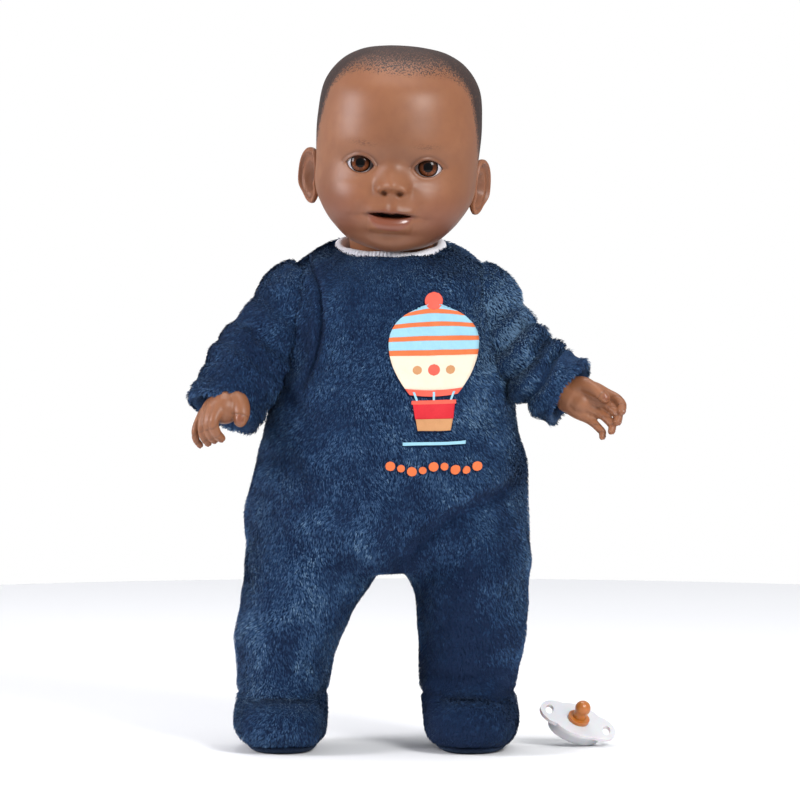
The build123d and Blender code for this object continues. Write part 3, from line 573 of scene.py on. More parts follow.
def from_rim(points, rim):
    """Distance from a closed line, negative inside it, and the nearest point on it."""
    a, b = rim, np.roll(rim, -1, 0)
    d = b - a
    along = np.clip(((points[:, None] - a) * d).sum(-1) / (d * d).sum(-1), 0, 1)
    foot = a + along[..., None] * d
    gap = np.linalg.norm(points[:, None] - foot, axis=-1)
    near = gap.argmin(1)
    x, y = points.T
    crossing = ((a[:, 1] > y[:, None]) != (b[:, 1] > y[:, None]))
    at = a[:, 0] + (y[:, None] - a[:, 1]) / np.where(d[:, 1] == 0, 1e-9, d[:, 1]) * d[:, 0]
    inside = (crossing & (x[:, None] < at)).sum(1) % 2 == 1
    pick = np.arange(len(points))
    return np.where(inside, -1, 1) * gap[pick, near], foot[pick, near]


def head_space(points):
    """From the head's own (across, back, up) to the doll's."""
    return NECK + points[..., :1] * HEAD_X + points[..., 1:2] * HEAD_Y + points[..., 2:] * HEAD_Z


def hairline(turn):
    """Height of the hair's edge by the turn away from the front, in degrees."""
    return np.interp(turn, [0, 30, 45, 52, 59.5, 63, 68, 73, 80, 90, 110, 140, 180],
                     [111.5, 112, 110.5, 107, 100.5, 93, 82, 72, 63, 56, 46, 35, 30])


def mirrored(rows):
    """The rows, with each one off the middle on both sides."""
    for across, *rest in rows:
        for sign in ((1, -1) if across else (1,)):
            yield sign * across, *rest


def skull_mesh():
    # more columns and rows over the face than round the back
    even = np.linspace(-1, 1, 420, endpoint=False)
    turn = math.pi * (0.55 * even + 0.45 * even**3)
    heights = through(SKULL, 900)
    keep = [0]
    for i, row in enumerate(heights):
        pitch = 0.42 if 24 < row[0] < 72 else 0.9
        if np.linalg.norm(row - heights[keep[-1]]) > pitch * (1 if 12 < row[0] < 126 else 0.7):
            keep.append(i)
    rows = heights[keep + [len(heights) - 1]]
    t, mid, wide, deep = (rows[:, i][:, None] for i in range(4))
    s, c = np.sin(turn)[None], np.cos(turn)[None]
    x = wide * np.sign(s) * np.abs(s) ** 0.95
    y = mid - deep * np.sign(c) * np.abs(c) ** 0.95
    grid = np.stack([x, y, t + 0 * x], -1)
    across, up = np.gradient(grid, axis=1), np.gradient(grid, axis=0)
    normal = np.cross(across, up)
    normal /= np.maximum(np.linalg.norm(normal, axis=-1, keepdims=True), 1e-9)
    shape = grid.shape[:2]
    x, y, t = grid[..., 0], grid[..., 1], grid[..., 2]
    front = smooth_step(-(y - mid), 6, 24)
    rise = np.zeros(shape)
    for cx, ct, wide, up, down, height in mirrored(FACE):
        rise += height * hump(x, t, cx, ct, wide, up, down)
    # the upper lip with its bow, the lower lip, and the line between them
    bow = 0.5 * np.exp(-0.5 * ((np.abs(x) - 3.2) / 2.2) ** 2)
    upper = np.clip(1 - (np.abs(x) / 13.6) ** 2, 0, 1) ** 0.7
    lower = np.clip(1 - (np.abs(x) / 12.4) ** 2, 0, 1) ** 0.8
    rise += 1.7 * upper * np.exp(-0.5 * ((t - (35.4 + bow)) / 1.5) ** 2)
    rise += 3.4 * lower * np.exp(-0.5 * ((t - 26.9) / np.where(t > 26.9, 3.2, 2.6)) ** 2)
    rise -= 1.6 * hump(x, t, 0, 31.6, 11, 1.0)
    points = grid + normal * (rise * front)[..., None]
    # lids and lips: a clean edge, then a pocket behind it
    flat = points.reshape(-1, 3)
    face = (front.ravel() > 0.3)
    marks = {key: np.zeros(len(flat)) for key in SKIN_MARKS}

    def shaded(where, amount):
        marks["shade"][where] = np.maximum(marks["shade"][where], amount)

    turn_deg = np.degrees(np.abs(np.broadcast_to(turn[None], shape))).ravel()
    fx, ft = flat[:, 0], flat[:, 2]
    # what it is, its centre, its edge, the pocket's depth and how far in it is that deep
    openings = [("eye", (-EYE_X, EYE_T), eye_rim() * (-1, 1), 9.0, 0.55),
                ("eye", (EYE_X, EYE_T), eye_rim(), 9.0, 0.55),
                ("mouth", (0, MOUTH_T), lip_rim(), 15.0, 2.7)]
    for name, centre, rim, pocket, edge in openings:
        spots = np.stack([fx - centre[0], ft - centre[1]], 1)
        near = np.where(face & (np.abs(spots[:, 0]) < 17) & (np.abs(spots[:, 1]) < 9))[0]
        gap, foot = from_rim(spots[near], rim)
        snap = np.abs(gap) < 0.2
        moved = near[snap]
        shift = foot[snap] - spots[moved]
        slope = normal.reshape(-1, 3)[moved]
        flat[moved, 0] += shift[:, 0]
        flat[moved, 2] += shift[:, 1]
        flat[moved, 1] -= (slope[:, 0] * shift[:, 0] + slope[:, 2] * shift[:, 1]) / slope[:, 1]
        gap[snap] = 0
        if name == "eye":
            high = spots[near, 1] > 0
            lid = np.where(high, 0.6, 0.25) * np.exp(-0.5 * ((gap - 0.9) / 0.6) ** 2)
            fold = np.where(high, 0.4, 0.0) * np.exp(-0.5 * ((gap - 2.3) / 0.5) ** 2)
            flat[near, 1] -= np.where(gap > 0, lid - fold, 0)
            # a dark line at the lid's edge, partly the doll's painted lid line and partly painted
            # shade, painted shade in the upper lid's fold, and full painted shade on the pocket's
            # walls behind the lids
            lid_line_and_shade = np.where(high, 1.0, 0.45) * np.exp(-0.5 * (gap / 0.5) ** 2)
            crease = np.where(high, 0.35, 0.0) * np.exp(-0.5 * ((gap - 2.3) / 0.9) ** 2)
            shaded(near, np.where(gap > -0.3, lid_line_and_shade + crease, 1.0))
        else:
            below = spots[near, 1] < 0
            bulge = np.clip(1 - (spots[near, 0] / np.where(below, 13.2, 9.0)) ** 2, 0, 1) ** 0.6
            reach = np.where(below, 7.8, 2.6) * bulge
            lip = np.where(gap > 0, 1 - smooth_step(gap, reach - 1.2, reach + 0.4), 1.0)
            marks["lip"][near] = lip * np.where(below, 1.0, 0.5)
            # painted shade along the mouth's edge, spreading wider over the upper lip
            beyond = np.maximum(gap, 0)
            shaded(near, 0.8 * np.exp(-0.5 * (beyond / 0.5) ** 2)
                   + np.where(below, 0.0, 0.3) * np.exp(-0.5 * (beyond / 1.8) ** 2))
            marks["inside"][near] = smooth_step(-gap, 0.1, 1.9)
        flat[near, 1] += pocket * smooth_step(-gap, 0.0, edge)
    rise_of_hair = (grid[..., 2].ravel() - hairline(turn_deg)) / 19
    marks["hair"] = np.clip(rise_of_hair, 0, 1) ** 0.7
    everywhere = slice(None)
    for sign in (-1, 1):
        marks["blush"] += face * hump(fx, ft, sign * 30, 31, 11, 10)
        marks["brow"] += face * hump(fx, ft - 0.06 * np.abs(fx), sign * 19, 72.0, 5.0, 1.2)
        # painted shade in the nostrils and the corners of the mouth
        shaded(everywhere, face * 0.9 * hump(fx, ft, sign * 4.5, 45.4, 1.3, 0.8))
        shaded(everywhere, face * 0.5 * hump(fx, ft, sign * 14.4, 32.0, 1.3, 1.2))
    # painted shade in the crease between the lower lip and the chin
    shaded(everywhere, face * 0.14 * hump(fx, ft, 0, 21.2, 7.5, 1.6))
    # painted shade: under the chin and cheeks, over the nose and in the eye hollows
    tan = np.zeros(len(flat))
    for cx, ct, wide, up, down, amount in mirrored(PAINTED_SHADE_SPOTS):
        tan += amount * hump(fx, ft, cx, ct, wide, up, down)
    marks["shade"] = np.clip(marks["shade"] + tan * (front.ravel() > 0.05), 0, 1)
    head = skinned("head", head_space(flat.reshape(*shape, 3)), SKIN)
    for key, values in marks.items():
        mark(head, key, np.concatenate([values, [values[0], values[-1]]]))
    return head


def ear_mesh(side):
    sign = SIDES[side]
    turns, steps = 96, 40
    a = np.linspace(0, 2 * math.pi, turns, endpoint=False)[None]
    r = (np.linspace(0, 1, steps) ** 0.9)[:, None]
    # outline round the ear's hollow: backward c, upward s
    c, s = np.cos(a), np.sin(a)
    back_size, up_size = np.where(c > 0, 12.0, 8.0), np.where(s > 0, 18.0, 15.0)
    reach = 1 / ((np.abs(c) / back_size) ** 2.3 + (np.abs(s) / up_size) ** 2.3) ** (1 / 2.3)
    reach = reach * (1 - 0.16 * np.exp(-0.5 * ((a - math.radians(300)) / 0.35) ** 2))
    back = 8.5 + reach * r * c - 2.0 * np.maximum(-reach * r * s / 8 - 1, 0) ** 1.2
    up = reach * r * s
    # the raised parts, each by its place between the hollow, r 0, and the edge, r 1
    full_rim = 0.35 + 0.65 * smooth_step(s + 0.6 * c, -0.8, 0.2)
    rim = 2.4 * np.exp(-0.5 * ((r - 0.9) / 0.075) ** 2) * full_rim
    fold = 1.3 * np.exp(-0.5 * ((r - 0.6) / 0.09) ** 2) * smooth_step(c, -0.5, 0.4)
    hollow = -5.0 * np.exp(-0.5 * (r / 0.32) ** 2)
    tragus = 2.2 * np.exp(-0.5 * ((r * reach * c + 6.0) / 2.0) ** 2
                          - 0.5 * ((r * reach * s + 2.0) / 3.0) ** 2)
    lobe = (1.2 * np.exp(-0.5 * ((r * reach * s + 12.0) / 3.2) ** 2)
            * np.exp(-0.5 * (r * reach * c / 5) ** 2))
    outer = np.stack([back, up, rim + fold + hollow + tragus + lobe + 0 * back], -1)
    inner = np.stack([back, up, -2.6 - 3.0 * (1 - r**2) + 1.9 * r**6 + 0 * back], -1)
    rows = np.concatenate([outer, inner[::-1]])
    flare = math.radians(25 if side == "left" else 34)
    b, u, w = rows[..., 0], rows[..., 1], rows[..., 2]
    x = sign * (45.4 + b * math.sin(flare) + w * math.cos(flare))
    y = -3.0 + b * math.cos(flare) - w * math.sin(flare)
    t = 45.8 + u + 0.10 * b
    ear = skinned(f"ear_{side}", head_space(np.stack([x, y, t], -1)), SKIN)
    # painted shade in the ear's hollow and in the groove inside its rim
    shade = np.exp(-0.5 * (r / 0.34) ** 2) + 0.45 * np.exp(-0.5 * ((r - 0.77) / 0.06) ** 2) + 0 * a
    shade = np.concatenate([shade, np.zeros((steps, turns))]).ravel()
    mark(ear, "shade", np.concatenate([shade, [1, 0]]))
    mark(ear, "blush", np.full(len(ear.data.vertices), 0.25))
    unmarked(ear, "hair", "lip", "inside", "brow")
    modified(ear, "SUBSURF", levels=1)
    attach(ear, "head")


def eye_meshes(side):
    centre = np.array([SIDES[side] * EYE_X, EYE_Y, EYE_T])
    look = unit(np.array([SIDES[side] * 0.03, -1, 0.0]))
    right = unit(np.cross(look, (0, 0, 1)))
    up = np.cross(right, look)
    around = 96
    turn = np.linspace(0, 2 * math.pi, around, endpoint=False)

    def dome(name, middle, profile, paint):
        """A body turned about the line of sight, from rows of (radius, forward)."""
        ring = np.stack([np.cos(turn), np.sin(turn)], 1)
        points = (middle + profile[:, 1][:, None, None] * look
                  + profile[:, 0][:, None, None] * (ring[:, :1] * right + ring[:, 1:] * up)[None])
        return skinned(name, head_space(points), paint)

    bow = np.radians(np.linspace(2, 178, 60))
    ball = dome(f"eyeball_white_{side}", centre,
                np.stack([BALL * np.sin(bow), BALL * np.cos(bow)], 1), INNER["eye_white"])
    # the iris bulges off the ball, sits a little high under the lid and has a flat back
    r = np.linspace(0.02, 1, 40)
    drop = 9.0 * (1 - np.sqrt(1 - (r * IRIS / 9.0) ** 2)) * 0.62
    out = 9.02 + 0.75 * (1 - r**2) - drop - 0.55 * r**6
    iris = dome(f"iris_paint_{side}", centre + up * 0.85,
                np.concatenate([np.stack([IRIS * r, out], 1), [[5.6, 6.2], [0.1, 6.2]]]),
                INNER["eye_iris"])
    ring = np.concatenate([r, [1, 1]])
    mark(iris, "ring", np.concatenate([np.repeat(ring, around), [0, 1]]))
    # painted shadow of the upper lid, darkest at the top of the iris
    high = ring[:, None] * np.sin(turn)[None] + 0.2
    mark(iris, "lidded", np.concatenate([np.clip(high * 1.6, 0, 1).ravel(), [0, 0]]))
    mark(iris, "turn", np.concatenate([np.tile(np.abs(turn / math.pi - 1), len(ring)), [0, 0]]))
    for piece, slot in ((ball, "eye_white"), (iris, "eye_iris")):
        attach(piece, "head")
    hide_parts(f"eyeball_{side}")
    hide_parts(f"iris_{side}", f"cornea_{side}")


# rows: height above the neck top, fore and aft middle, half width, half depth
NECK_ROWS = [
    (-14, 0, 20.4, 20.4), (-6, 0, 21.4, 21.4), (0, 0, 23.2, 23.0), (6, -0.5, 23.8, 23.8),
    (13, -1.5, 25, 25.5), (22, -3, 28, 30), (30, -4, 33, 35), (34, -4, 20, 22),
]


def neck_mesh():
    rings = oval_rings([(t, 0, y, wide, deep) for t, y, wide, deep in through(NECK_ROWS, 60)], 120)
    neck = skinned("neck", head_space(rings), SKIN)
    unmarked(neck, *SKIN_MARKS)
    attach(neck, "head")


head = skull_mesh()
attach(head, "head")
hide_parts("head_shell")
neck_mesh()
for side in SIDES:
    ear_mesh(side)
    eye_meshes(side)


# ---- the chest print
# a plain striped balloon over a row of dots, from patches that each have a shape; a shape gives its
# point for u, -1 to 1 across, and v, 0 to 1 up
PRINT_X, PRINT_LOW = 25.3, 166.5
# how far the balloon is off the cloth, and each patch over it off the one before
PRINT_LIFT, PRINT_LAYER = 1.5, 0.05


def band(shape, low, high, across, up):
    """Points of a patch between two heights of its shape."""
    u, v = np.meshgrid(np.linspace(-1, 1, across), np.linspace(low, high, up))
    return np.stack(shape(u, v), -1)


def balloon(u, v):
    crown = np.sqrt(np.clip(1 - ((v - 0.58) / 0.43) ** 2, 0, 1))
    wide = 26 * np.where(v > 0.58, crown, np.cos((0.58 - v) * 1.9) ** 0.8)
    return wide * u, 47 + 50 * v + 3.5 * (1 - u**2) * (v - 0.35)


def slab(x0, x1, z0, z1, lean=0.0):
    middle, half = (x0 + x1) / 2, (x1 - x0) / 2
    return lambda u, v: (middle + half * u * (1 + lean * (v - 1)), z0 + (z1 - z0) * v)


def spot(cx, cz, r):
    return lambda u, v: (cx + r * np.sqrt(np.clip(1 - (2 * v - 1) ** 2, 0, 1)) * u,
                         cz + r * (2 * v - 1))


def line(x0, z0, x1, z1, w):
    return lambda u, v: (x0 + (x1 - x0) * v + w / 2 * u, z0 + (z1 - z0) * v)


STRIPES = [("coral", 0.0, 0.07), ("cream", 0.07, 0.44), ("orange", 0.44, 0.50), ("sky", 0.50, 0.60),
           ("orange", 0.60, 0.65), ("sky", 0.65, 0.75), ("orange", 0.75, 0.80), ("sky", 0.80, 0.89),
           ("orange", 0.89, 0.94), ("sky", 0.94, 1.0)]
DETAILS = [("coral", spot(0, 100.4, 5.2)), ("tan", spot(-9.5, 61, 2.6)),
           ("tan", spot(9.5, 61, 2.6)), ("coral", spot(0, 61, 3.4)),
           ("sky", line(-9, 42, -11.5, 48.5, 1.2)),
           ("sky", line(9, 42, 11.5, 48.5, 1.2)), ("sky", line(0, 42, 0, 48.5, 1.2)),
           ("red", slab(-12, 12, 33, 43, 0.1)), ("coral", slab(-12.6, 12.6, 41.4, 43.6)),
           ("tan", slab(-10.5, 10.5, 26, 33, 0.12)), ("sky", slab(-18, 18, 17.8, 19.6))]
DOTS = [("orange", spot(-25 + 6.2 * i, 4.2 + 1.6 * math.cos(i * 1.4), 2.2 if i % 2 else 2.8))
        for i in range(9)]
# rows: film, shape, lowest and highest v; the later ones lie on top
PRINT = [(film_of, balloon, low, high) for film_of, low, high in STRIPES]
PRINT += [(film_of, shape, 0, 1) for film_of, shape in DETAILS + DOTS]


def in_print(x, z):
    """Which points lie under the print. Its round spots are small and lie on the pile's tips."""
    edge = 0.5
    under = np.zeros(len(x), bool)
    flat = np.stack([x - MID - PRINT_X, z - PRINT_LOW], 1)
    for _, shape, low, high in PRINT:
        patch = band(shape, low, high, 9, 14)
        if not np.ptp(patch[0], 0).any():      # a spot starts at one point
            continue
        rim = np.concatenate([patch[0], patch[1:, -1], patch[-1, ::-1][1:], patch[::-1, 0][1:-1]])
        near = np.where(((flat > rim.min(0) - edge) & (flat < rim.max(0) + edge)).all(1))[0]
        if len(near):
            under[near] |= from_rim(flat[near], rim)[0] < edge
    return under


# ---- the hands' lines
# rays run from the wrist to a knuckle, then the finger's joints, and the thumb's is last: across
# from the middle, fore and aft, height, radius
HANDS = {
    "right": [
        [(-93, -22, 208, 9.5), (-95.5, -35, 209, 10.6), (-97, -44, 204.5, 9.4)],
        [
            (-95, -26, 204, 8), (-98, -44, 207.5, 6), (-100.5, -50.5, 203.5, 4.0),
            (-103, -54.5, 196.5, 3.1), (-101, -53, 190.5, 2.9), (-98.5, -50, 187.5, 2.6),
        ],
        [
            (-97, -28, 204, 8), (-102.5, -43, 206, 5), (-105.5, -49, 201.5, 3.0),
            (-106.5, -51.5, 195, 2.7), (-104.5, -49.5, 188.5, 2.5), (-102.5, -47, 186.0, 2.3),
        ],
        [
            (-97, -26, 204, 8), (-105.5, -39.5, 204, 4.8), (-109, -45, 199.5, 2.8),
            (-110.2, -47.5, 193, 2.5), (-108.4, -45.5, 186.6, 2.4), (-106.2, -43.5, 184.0, 2.2),
        ],
        [
            (-98, -25, 203, 8), (-107.5, -35, 201, 4.6), (-112, -40, 196.5, 2.6),
            (-114, -42.5, 190.5, 2.3), (-113, -41.5, 185, 2.2), (-111, -40, 182.6, 2.0),
        ],
        [
            (-94, -33, 209, 8), (-89.8, -42, 208.4, 7.0), (-87.2, -47.5, 204.6, 5.6),
            (-86.8, -50.5, 200.4, 4.7), (-87.4, -51.5, 198.0, 4.0),
        ],
    ],
    "left": [
        [(102.5, -18, 214, 9.5), (109.5, -22.5, 209, 9.5), (112.5, -25, 206.5, 8)],
        [
            (107.5, -22, 212, 8), (119.5, -27.5, 214, 5), (127.5, -29.5, 211.5, 3.4),
            (133.1, -33, 209.2, 2.9), (136.1, -37.5, 205.2, 2.7), (135.5, -40, 202.2, 2.4),
        ],
        [
            (107.5, -22, 210, 8), (118.5, -27.5, 209, 5), (125.5, -30, 206.2, 3.2),
            (130.7, -34.5, 203, 2.8), (133.9, -38.5, 198.6, 2.6), (133.1, -41, 196, 2.3),
        ],
        [
            (107.5, -22, 208, 8), (115.5, -27, 204.5, 5), (122.5, -30, 200.6, 3.0),
            (127.3, -34.2, 197.2, 2.7), (130.3, -37.8, 193, 2.5), (129.5, -40, 190.6, 2.2),
        ],
        [
            (105.5, -21, 207, 8), (110.5, -25.5, 201, 4.8), (117.3, -28.5, 196.3, 2.9),
            (121.7, -31.8, 192.6, 2.5), (124.7, -34.6, 188.9, 2.3), (124.3, -36.2, 187, 2.0),
        ],
        [
            (106.5, -23, 214, 7), (113.5, -28.5, 217, 5.0), (119.5, -33, 214.8, 3.9),
            (124.1, -36, 211.6, 3.4), (126.1, -37, 209.8, 3.0),
        ],
    ],
}


# ---- the plush suit
# rows: height, middle across, middle fore and aft, half width, half depth
TRUNK = [
    (105.5, 4, 4, 8, 12), (107, 3, 4, 38, 32), (112, 0, 4, 70, 48), (122, -1.5, 3, 82.0, 56),
    (142, -1.5, 2, 82.6, 59.5), (156, 0, 1, 81.0, 60.5), (172, 1, 0, 78.5, 60.5),
    (184, 1, -1, 75.0, 60), (200, 1, -1, 72.0, 59), (217, 1.5, -0.5, 69.0, 57),
    (235, 1.5, 1, 66.5, 54), (250, 1, 2, 64.5, 51), (262, 0, 3, 63, 48), (274, 0, 3.5, 61, 45),
    (283, 0, 4, 57, 42), (289, 0, 4.5, 50, 39), (293.5, 0, 5, 42.5, 36.5), (296.5, 0, 5, 36, 34),
    (297, 0, 5, 33, 32.2), (295, 0, 5, 30, 29.8), (288, 0, 5, 27.5, 27.5),
    (280, 0, 5, 25.5, 25.5), (277, 0, 5, 18, 18),
]
LEGS = {
    "right": [
        (134, -44, 1, 30, 40), (124, -46, 0.5, 36, 44), (113, -47, 0, 38, 45),
        (99.6, -47.6, 0, 37.6, 43.5), (92.5, -51.2, 0, 35.6, 41.5), (85.4, -53.6, 0, 33.6, 39.5),
        (78, -56.4, 0, 32.4, 37.5), (64, -60.2, 0.5, 30.0, 34.5), (50, -62.2, 1, 27.2, 32),
        (36, -63.6, 2, 26.3, 30.5), (20, -63.6, 2, 25.5, 29),
    ],
    "left": [
        (134, 44, 1, 30, 40), (124, 45, 0.5, 36, 44), (113, 46, 0, 37, 45),
        (99.6, 46.5, 0, 35, 43.5), (92.5, 47.9, 0, 33, 41.5), (85.4, 48.1, 0, 32.2, 40),
        (78, 48.6, 0, 31.2, 39), (64, 48.3, 0.5, 30.2, 36.5), (50, 47.0, 1, 28.4, 33.5),
        (36, 45.8, 2, 26.9, 31), (20, 46.2, 2, 26.3, 29),
    ],
}
FEET = {"right": (-63.5, -10.5, 27.2, 42.0), "left": (47.8, -10.5, 27.4, 42.0)}
FOOT_TOP, SOLE_TOP, NECK_TILT = 34.0, 1.4, 0.13
SUIT_VOXEL = 3.2
# the seam down the front of the right armhole: across, height
ARMHOLE = [(-47, 292), (-41, 272), (-40, 252), (-44, 234), (-51, 217)]
# creases on the front: points (across, height), depth, width, and how far the cloth on the left of
# the line, as it runs, steps back
CREASES = [
    ([(82, 164), (65, 155), (49, 149), (31, 139), (18, 128), (9, 115), (3, 107)], 4.4, 3.0, 5.0),
    (ARMHOLE, 2.4, 1.4, 0.0),
    ([(-80, 176), (-66, 170), (-48, 167)], 1.8, 4.0, 0.8),
    ([(80, 188), (66, 181), (54, 178)], 1.2, 4.0, 0.5),
    ([(-86, 143), (-72, 138), (-58, 137)], 1.0, 4.0, 0.8),
    ([(20, 46), (40, 40), (66, 46)], 3.0, 3.2, 1.4),
    ([(24, 60), (44, 55), (60, 57)], 0.9, 4.0, 0.2),
    ([(-86, 48), (-68, 43), (-44, 47)], 1.0, 4.0, 0.3),
    ([(-62, 214), (-50, 200), (-44, 184)], 2.2, 5.0, 0.2),
    ([(62, 206), (50, 196), (46, 184)], 1.0, 6.0, 0.2),
    ([(84, 126), (66, 118), (50, 116)], 2.0, 4.5, 0.4),
    ([(74, 88), (60, 84), (50, 74)], 1.2, 6.0, 0.2),
    ([(-20, 112), (-40, 124), (-62, 130)], 0.9, 6.0, 0.2),
]
BACK_CREASES = [
    ([(-60, 124), (-40, 112), (-10, 106)], 2.2, 5.0, 0.5),
    ([(60, 124), (40, 112), (10, 106)], 2.2, 5.0, 0.5),
    ([(-70, 190), (-50, 182), (-30, 184)], 1.2, 5.0, 0.3),
    ([(70, 182), (48, 176), (30, 180)], 1.2, 5.0, 0.3),
    ([(-84, 52), (-64, 46), (-42, 50)], 1.2, 5.0, 0.3),
    ([(66, 50), (46, 45), (24, 50)], 1.2, 5.0, 0.3),
]


def to_line(points, keys):
    """Distance of flat points from a smooth open line, their side of it, and a fade to its ends."""
    rows = through(keys, 40)
    a, d = rows[:-1], np.diff(rows, axis=0)
    along = np.clip(((points[:, None] - a) * d).sum(-1) / (d * d).sum(-1), 0, 1)
    away = points[:, None] - a - along[..., None] * d
    gap = np.linalg.norm(away, axis=-1)
    near = gap.argmin(1)
    pick = np.arange(len(points))
    side = np.sign(d[near, 0] * away[pick, near, 1] - d[near, 1] * away[pick, near, 0])
    ends = np.minimum(near, len(a) - 1 - near) / 10
    return gap[pick, near], side, np.clip(0.35 + ends, 0, 1)


def gap_from(flat, keys):
    """Distance of flat points from a line, or 99 where they are far from it."""
    low, high = np.min(keys, 0) - 16, np.max(keys, 0) + 16
    near = np.where(((flat > low) & (flat < high)).all(1))[0]
    gap = np.full(len(flat), 99.0)
    gap[near] = to_line(flat[near], keys)[0]
    return gap


def foot_body(side):
    cx, cy, wide, deep = FEET[side]
    rows = []
    for lift in np.linspace(-1, 1, 25):
        w = (1 - abs(lift) ** 2.9) ** (1 / 2.9)
        k = 0.5 + 0.5 * lift
        rows.append((SOLE_TOP + (FOOT_TOP - SOLE_TOP) * k, MID + cx, cy + 2.2 * k,
                     max(wide * w, 0.5), max((deep - 3.0 * k) * w, 0.5)))
    rings = oval_rings(rows, 64, 2.35)
    toe = np.clip((-rings[..., 1] - 30) / 22, 0, 1)
    low = np.clip(1 - (rings[..., 2] - SOLE_TOP) / 14, 0, 1)
    rings[..., 2] += (2.4 if side == "right" else 0.9) * toe**2 * low
    return skinned("foot", rings, PLUSH)


def suit_body():
    trunk = oval_rings([(z, MID + x, y, w, d) for z, x, y, w, d in through(TRUNK, 90)], 96, 2.1)
    trunk[..., 2] += NECK_TILT * (trunk[..., 1] - 5) * smooth_step(trunk[..., 2], 276, 294)
    parts = [skinned("trunk", trunk, PLUSH)]
    for side in SIDES:
        rows = [(z, MID + x, y, w, d) for z, x, y, w, d in through(LEGS[side], 50)]
        parts.append(skinned("leg", oval_rings(rows, 72, 2.1), PLUSH))
        parts.append(foot_body(side))
    suit = fused("suit", parts, SUIT_VOXEL)
    modified(suit, "SMOOTH", factor=0.6, iterations=6)
    plumped(suit, 3.0, 14, 2.2)
    modified(suit, "SMOOTH", factor=0.5, iterations=2)
    modified(suit, "SUBSURF", levels=1)
    points, normals = points_of(suit), normals_of(suit)
    flat = np.stack([points[:, 0] - MID, points[:, 2]], 1)
    push = 0.9 * rumple(points, 26, 3) + 0.45 * rumple(points, 11, 9)
    seam = np.zeros(len(points))
    for creases, facing in ((CREASES, -1), (BACK_CREASES, 1)):
        front = smooth_step(facing * normals[:, 1], 0.0, 0.5)
        for keys, depth, width, step in creases:
            gap, which, fade = to_line(flat, keys)
            push -= front * fade * depth * np.exp(-0.5 * (gap / width) ** 2)
            # a roll of cloth beside the crease, and the step down below it
            roll = np.exp(-0.5 * ((gap - 2.6 * width) / width) ** 2)
            push += front * fade * 0.45 * depth * roll * (which * step <= 0)
            push -= (front * fade * step * (which > 0) * np.exp(-0.5 * (gap / 13) ** 2)
                     * smooth_step(gap, 0, 4))
    # seams: round each foot, and down the front of the right armhole
    for side in SIDES:
        level = 33.5 - 0.10 * (points[:, 1] + 40) * (points[:, 1] < -25)
        elsewhere = np.abs(points[:, 0] - (FEET[side][0] + MID)) > 38
        ring = np.abs(points[:, 2] - level) + 8 * elsewhere
        seam = np.maximum(seam, np.exp(-0.5 * (ring / 0.9) ** 2))
        push -= 1.3 * np.exp(-0.5 * (ring / 1.5) ** 2)
    armhole = np.exp(-0.5 * gap_from(flat, ARMHOLE) ** 2) * (normals[:, 1] < -0.1)
    seam = np.maximum(seam, armhole)
    points = points + normals * (push * np.clip((points[:, 2] - 1.0) / 5, 0, 1))[:, None]
    points[:, 2] = np.maximum(points[:, 2], SOLE_TOP - 0.1)
    move_points(suit, points)
    mark(suit, "seam", seam)
    return suit


# keys along each sleeve: across, fore and aft, height, radius
SLEEVES = {
    "right": [
        (-46, 3.5, 269.5, 20.6), (-51.5, 2.5, 266, 24), (-61, -1, 252.5, 22.6),
        (-73.5, -8, 239, 23), (-85, -16, 224, 23.2), (-92, -22.5, 211.5, 22.4),
        (-96.3, -26.5, 203.5, 21.4),
    ],
    "left": [
        (47, 3.5, 268.5, 20.2), (52.5, 2.5, 265.5, 21.6), (60.5, 0, 252.5, 20),
        (69.5, -6, 240.5, 19.8), (80.5, -12, 228.5, 19.2), (91.5, -16.5, 219, 19.8),
        (102, -20, 213, 20.6),
    ],
}
# bunches: place along the sleeve, depth, width, and on which side it is deepest (1 outer, -1 inner)
BUNCHES = {
    "right": [
        (0.50, 3.6, 0.045, -0.8), (0.66, 2.4, 0.036, -0.6), (0.82, 1.4, 0.04, 0.4),
        (0.92, 1.8, 0.026, 0),
    ],
    "left": [(0.50, 4.6, 0.032, 0.3), (0.69, 5.0, 0.03, -0.1), (0.855, 4.4, 0.024, 0.1)],
}


CUFF_HEM = [(1.04, 1.4), (1.03, 2.8), (0.97, 3.8), (0.88, 3.9), (0.8, 2.8), (0.74, 0.5), (0.7, -4),
            (0.66, -10)]


def sleeve(side):
    sign = SIDES[side]

    def swell(s, turn):
        outer = sign * np.cos(turn)
        wave = s + 0.022 * np.sin(2 * turn + 1.1) + 0.012 * np.sin(3 * turn + 0.4)
        size = 0.5 * np.sin(3 * turn + 9 * s) * smooth_step(s, 0.3, 0.5)
        for at, depth, width, lean in BUNCHES[side]:
            pull = depth * (0.75 + 0.35 * lean * outer)
            size = size - pull * np.exp(-0.5 * ((wave - at) / width) ** 2)
            size = size + 0.5 * pull * np.exp(-0.5 * ((wave - at - 2.6 * width) / width) ** 2)
            size = size + 0.5 * pull * np.exp(-0.5 * ((wave - at + 2.6 * width) / width) ** 2)
        return size
    keys = [(MID + x, y, z, r) for x, y, z, r in SLEEVES[side]]
    rings = tube_rings(keys, 110, 120, swell)
    middle = rings[-1].mean(0)
    way = unit(middle - rings[-3].mean(0))
    # the hem turns over and goes back inside: each ring's size and its place past the cuff
    hem = [middle + (rings[-1] - middle) * k + way * d for k, d in CUFF_HEM]
    piece = skinned(f"sleeve_cloth_{side}", np.concatenate([rings, np.array(hem)]), PLUSH)
    points, normals = points_of(piece), normals_of(piece)
    push = 0.7 * rumple(points, 12, 5 + sign) + 0.3 * rumple(points, 5, 8)
    move_points(piece, points + normals * push[:, None])
    unmarked(piece, "seam")
    return piece


def near_surface(points, other, within):
    """Which points lie within that distance of another piece's skin."""
    graph = bpy.context.evaluated_depsgraph_get()
    tree = BVHTree.FromObject(other, graph)
    return np.array([tree.find_nearest(Vector(p) * MM, within * MM)[0] is not None for p in points])


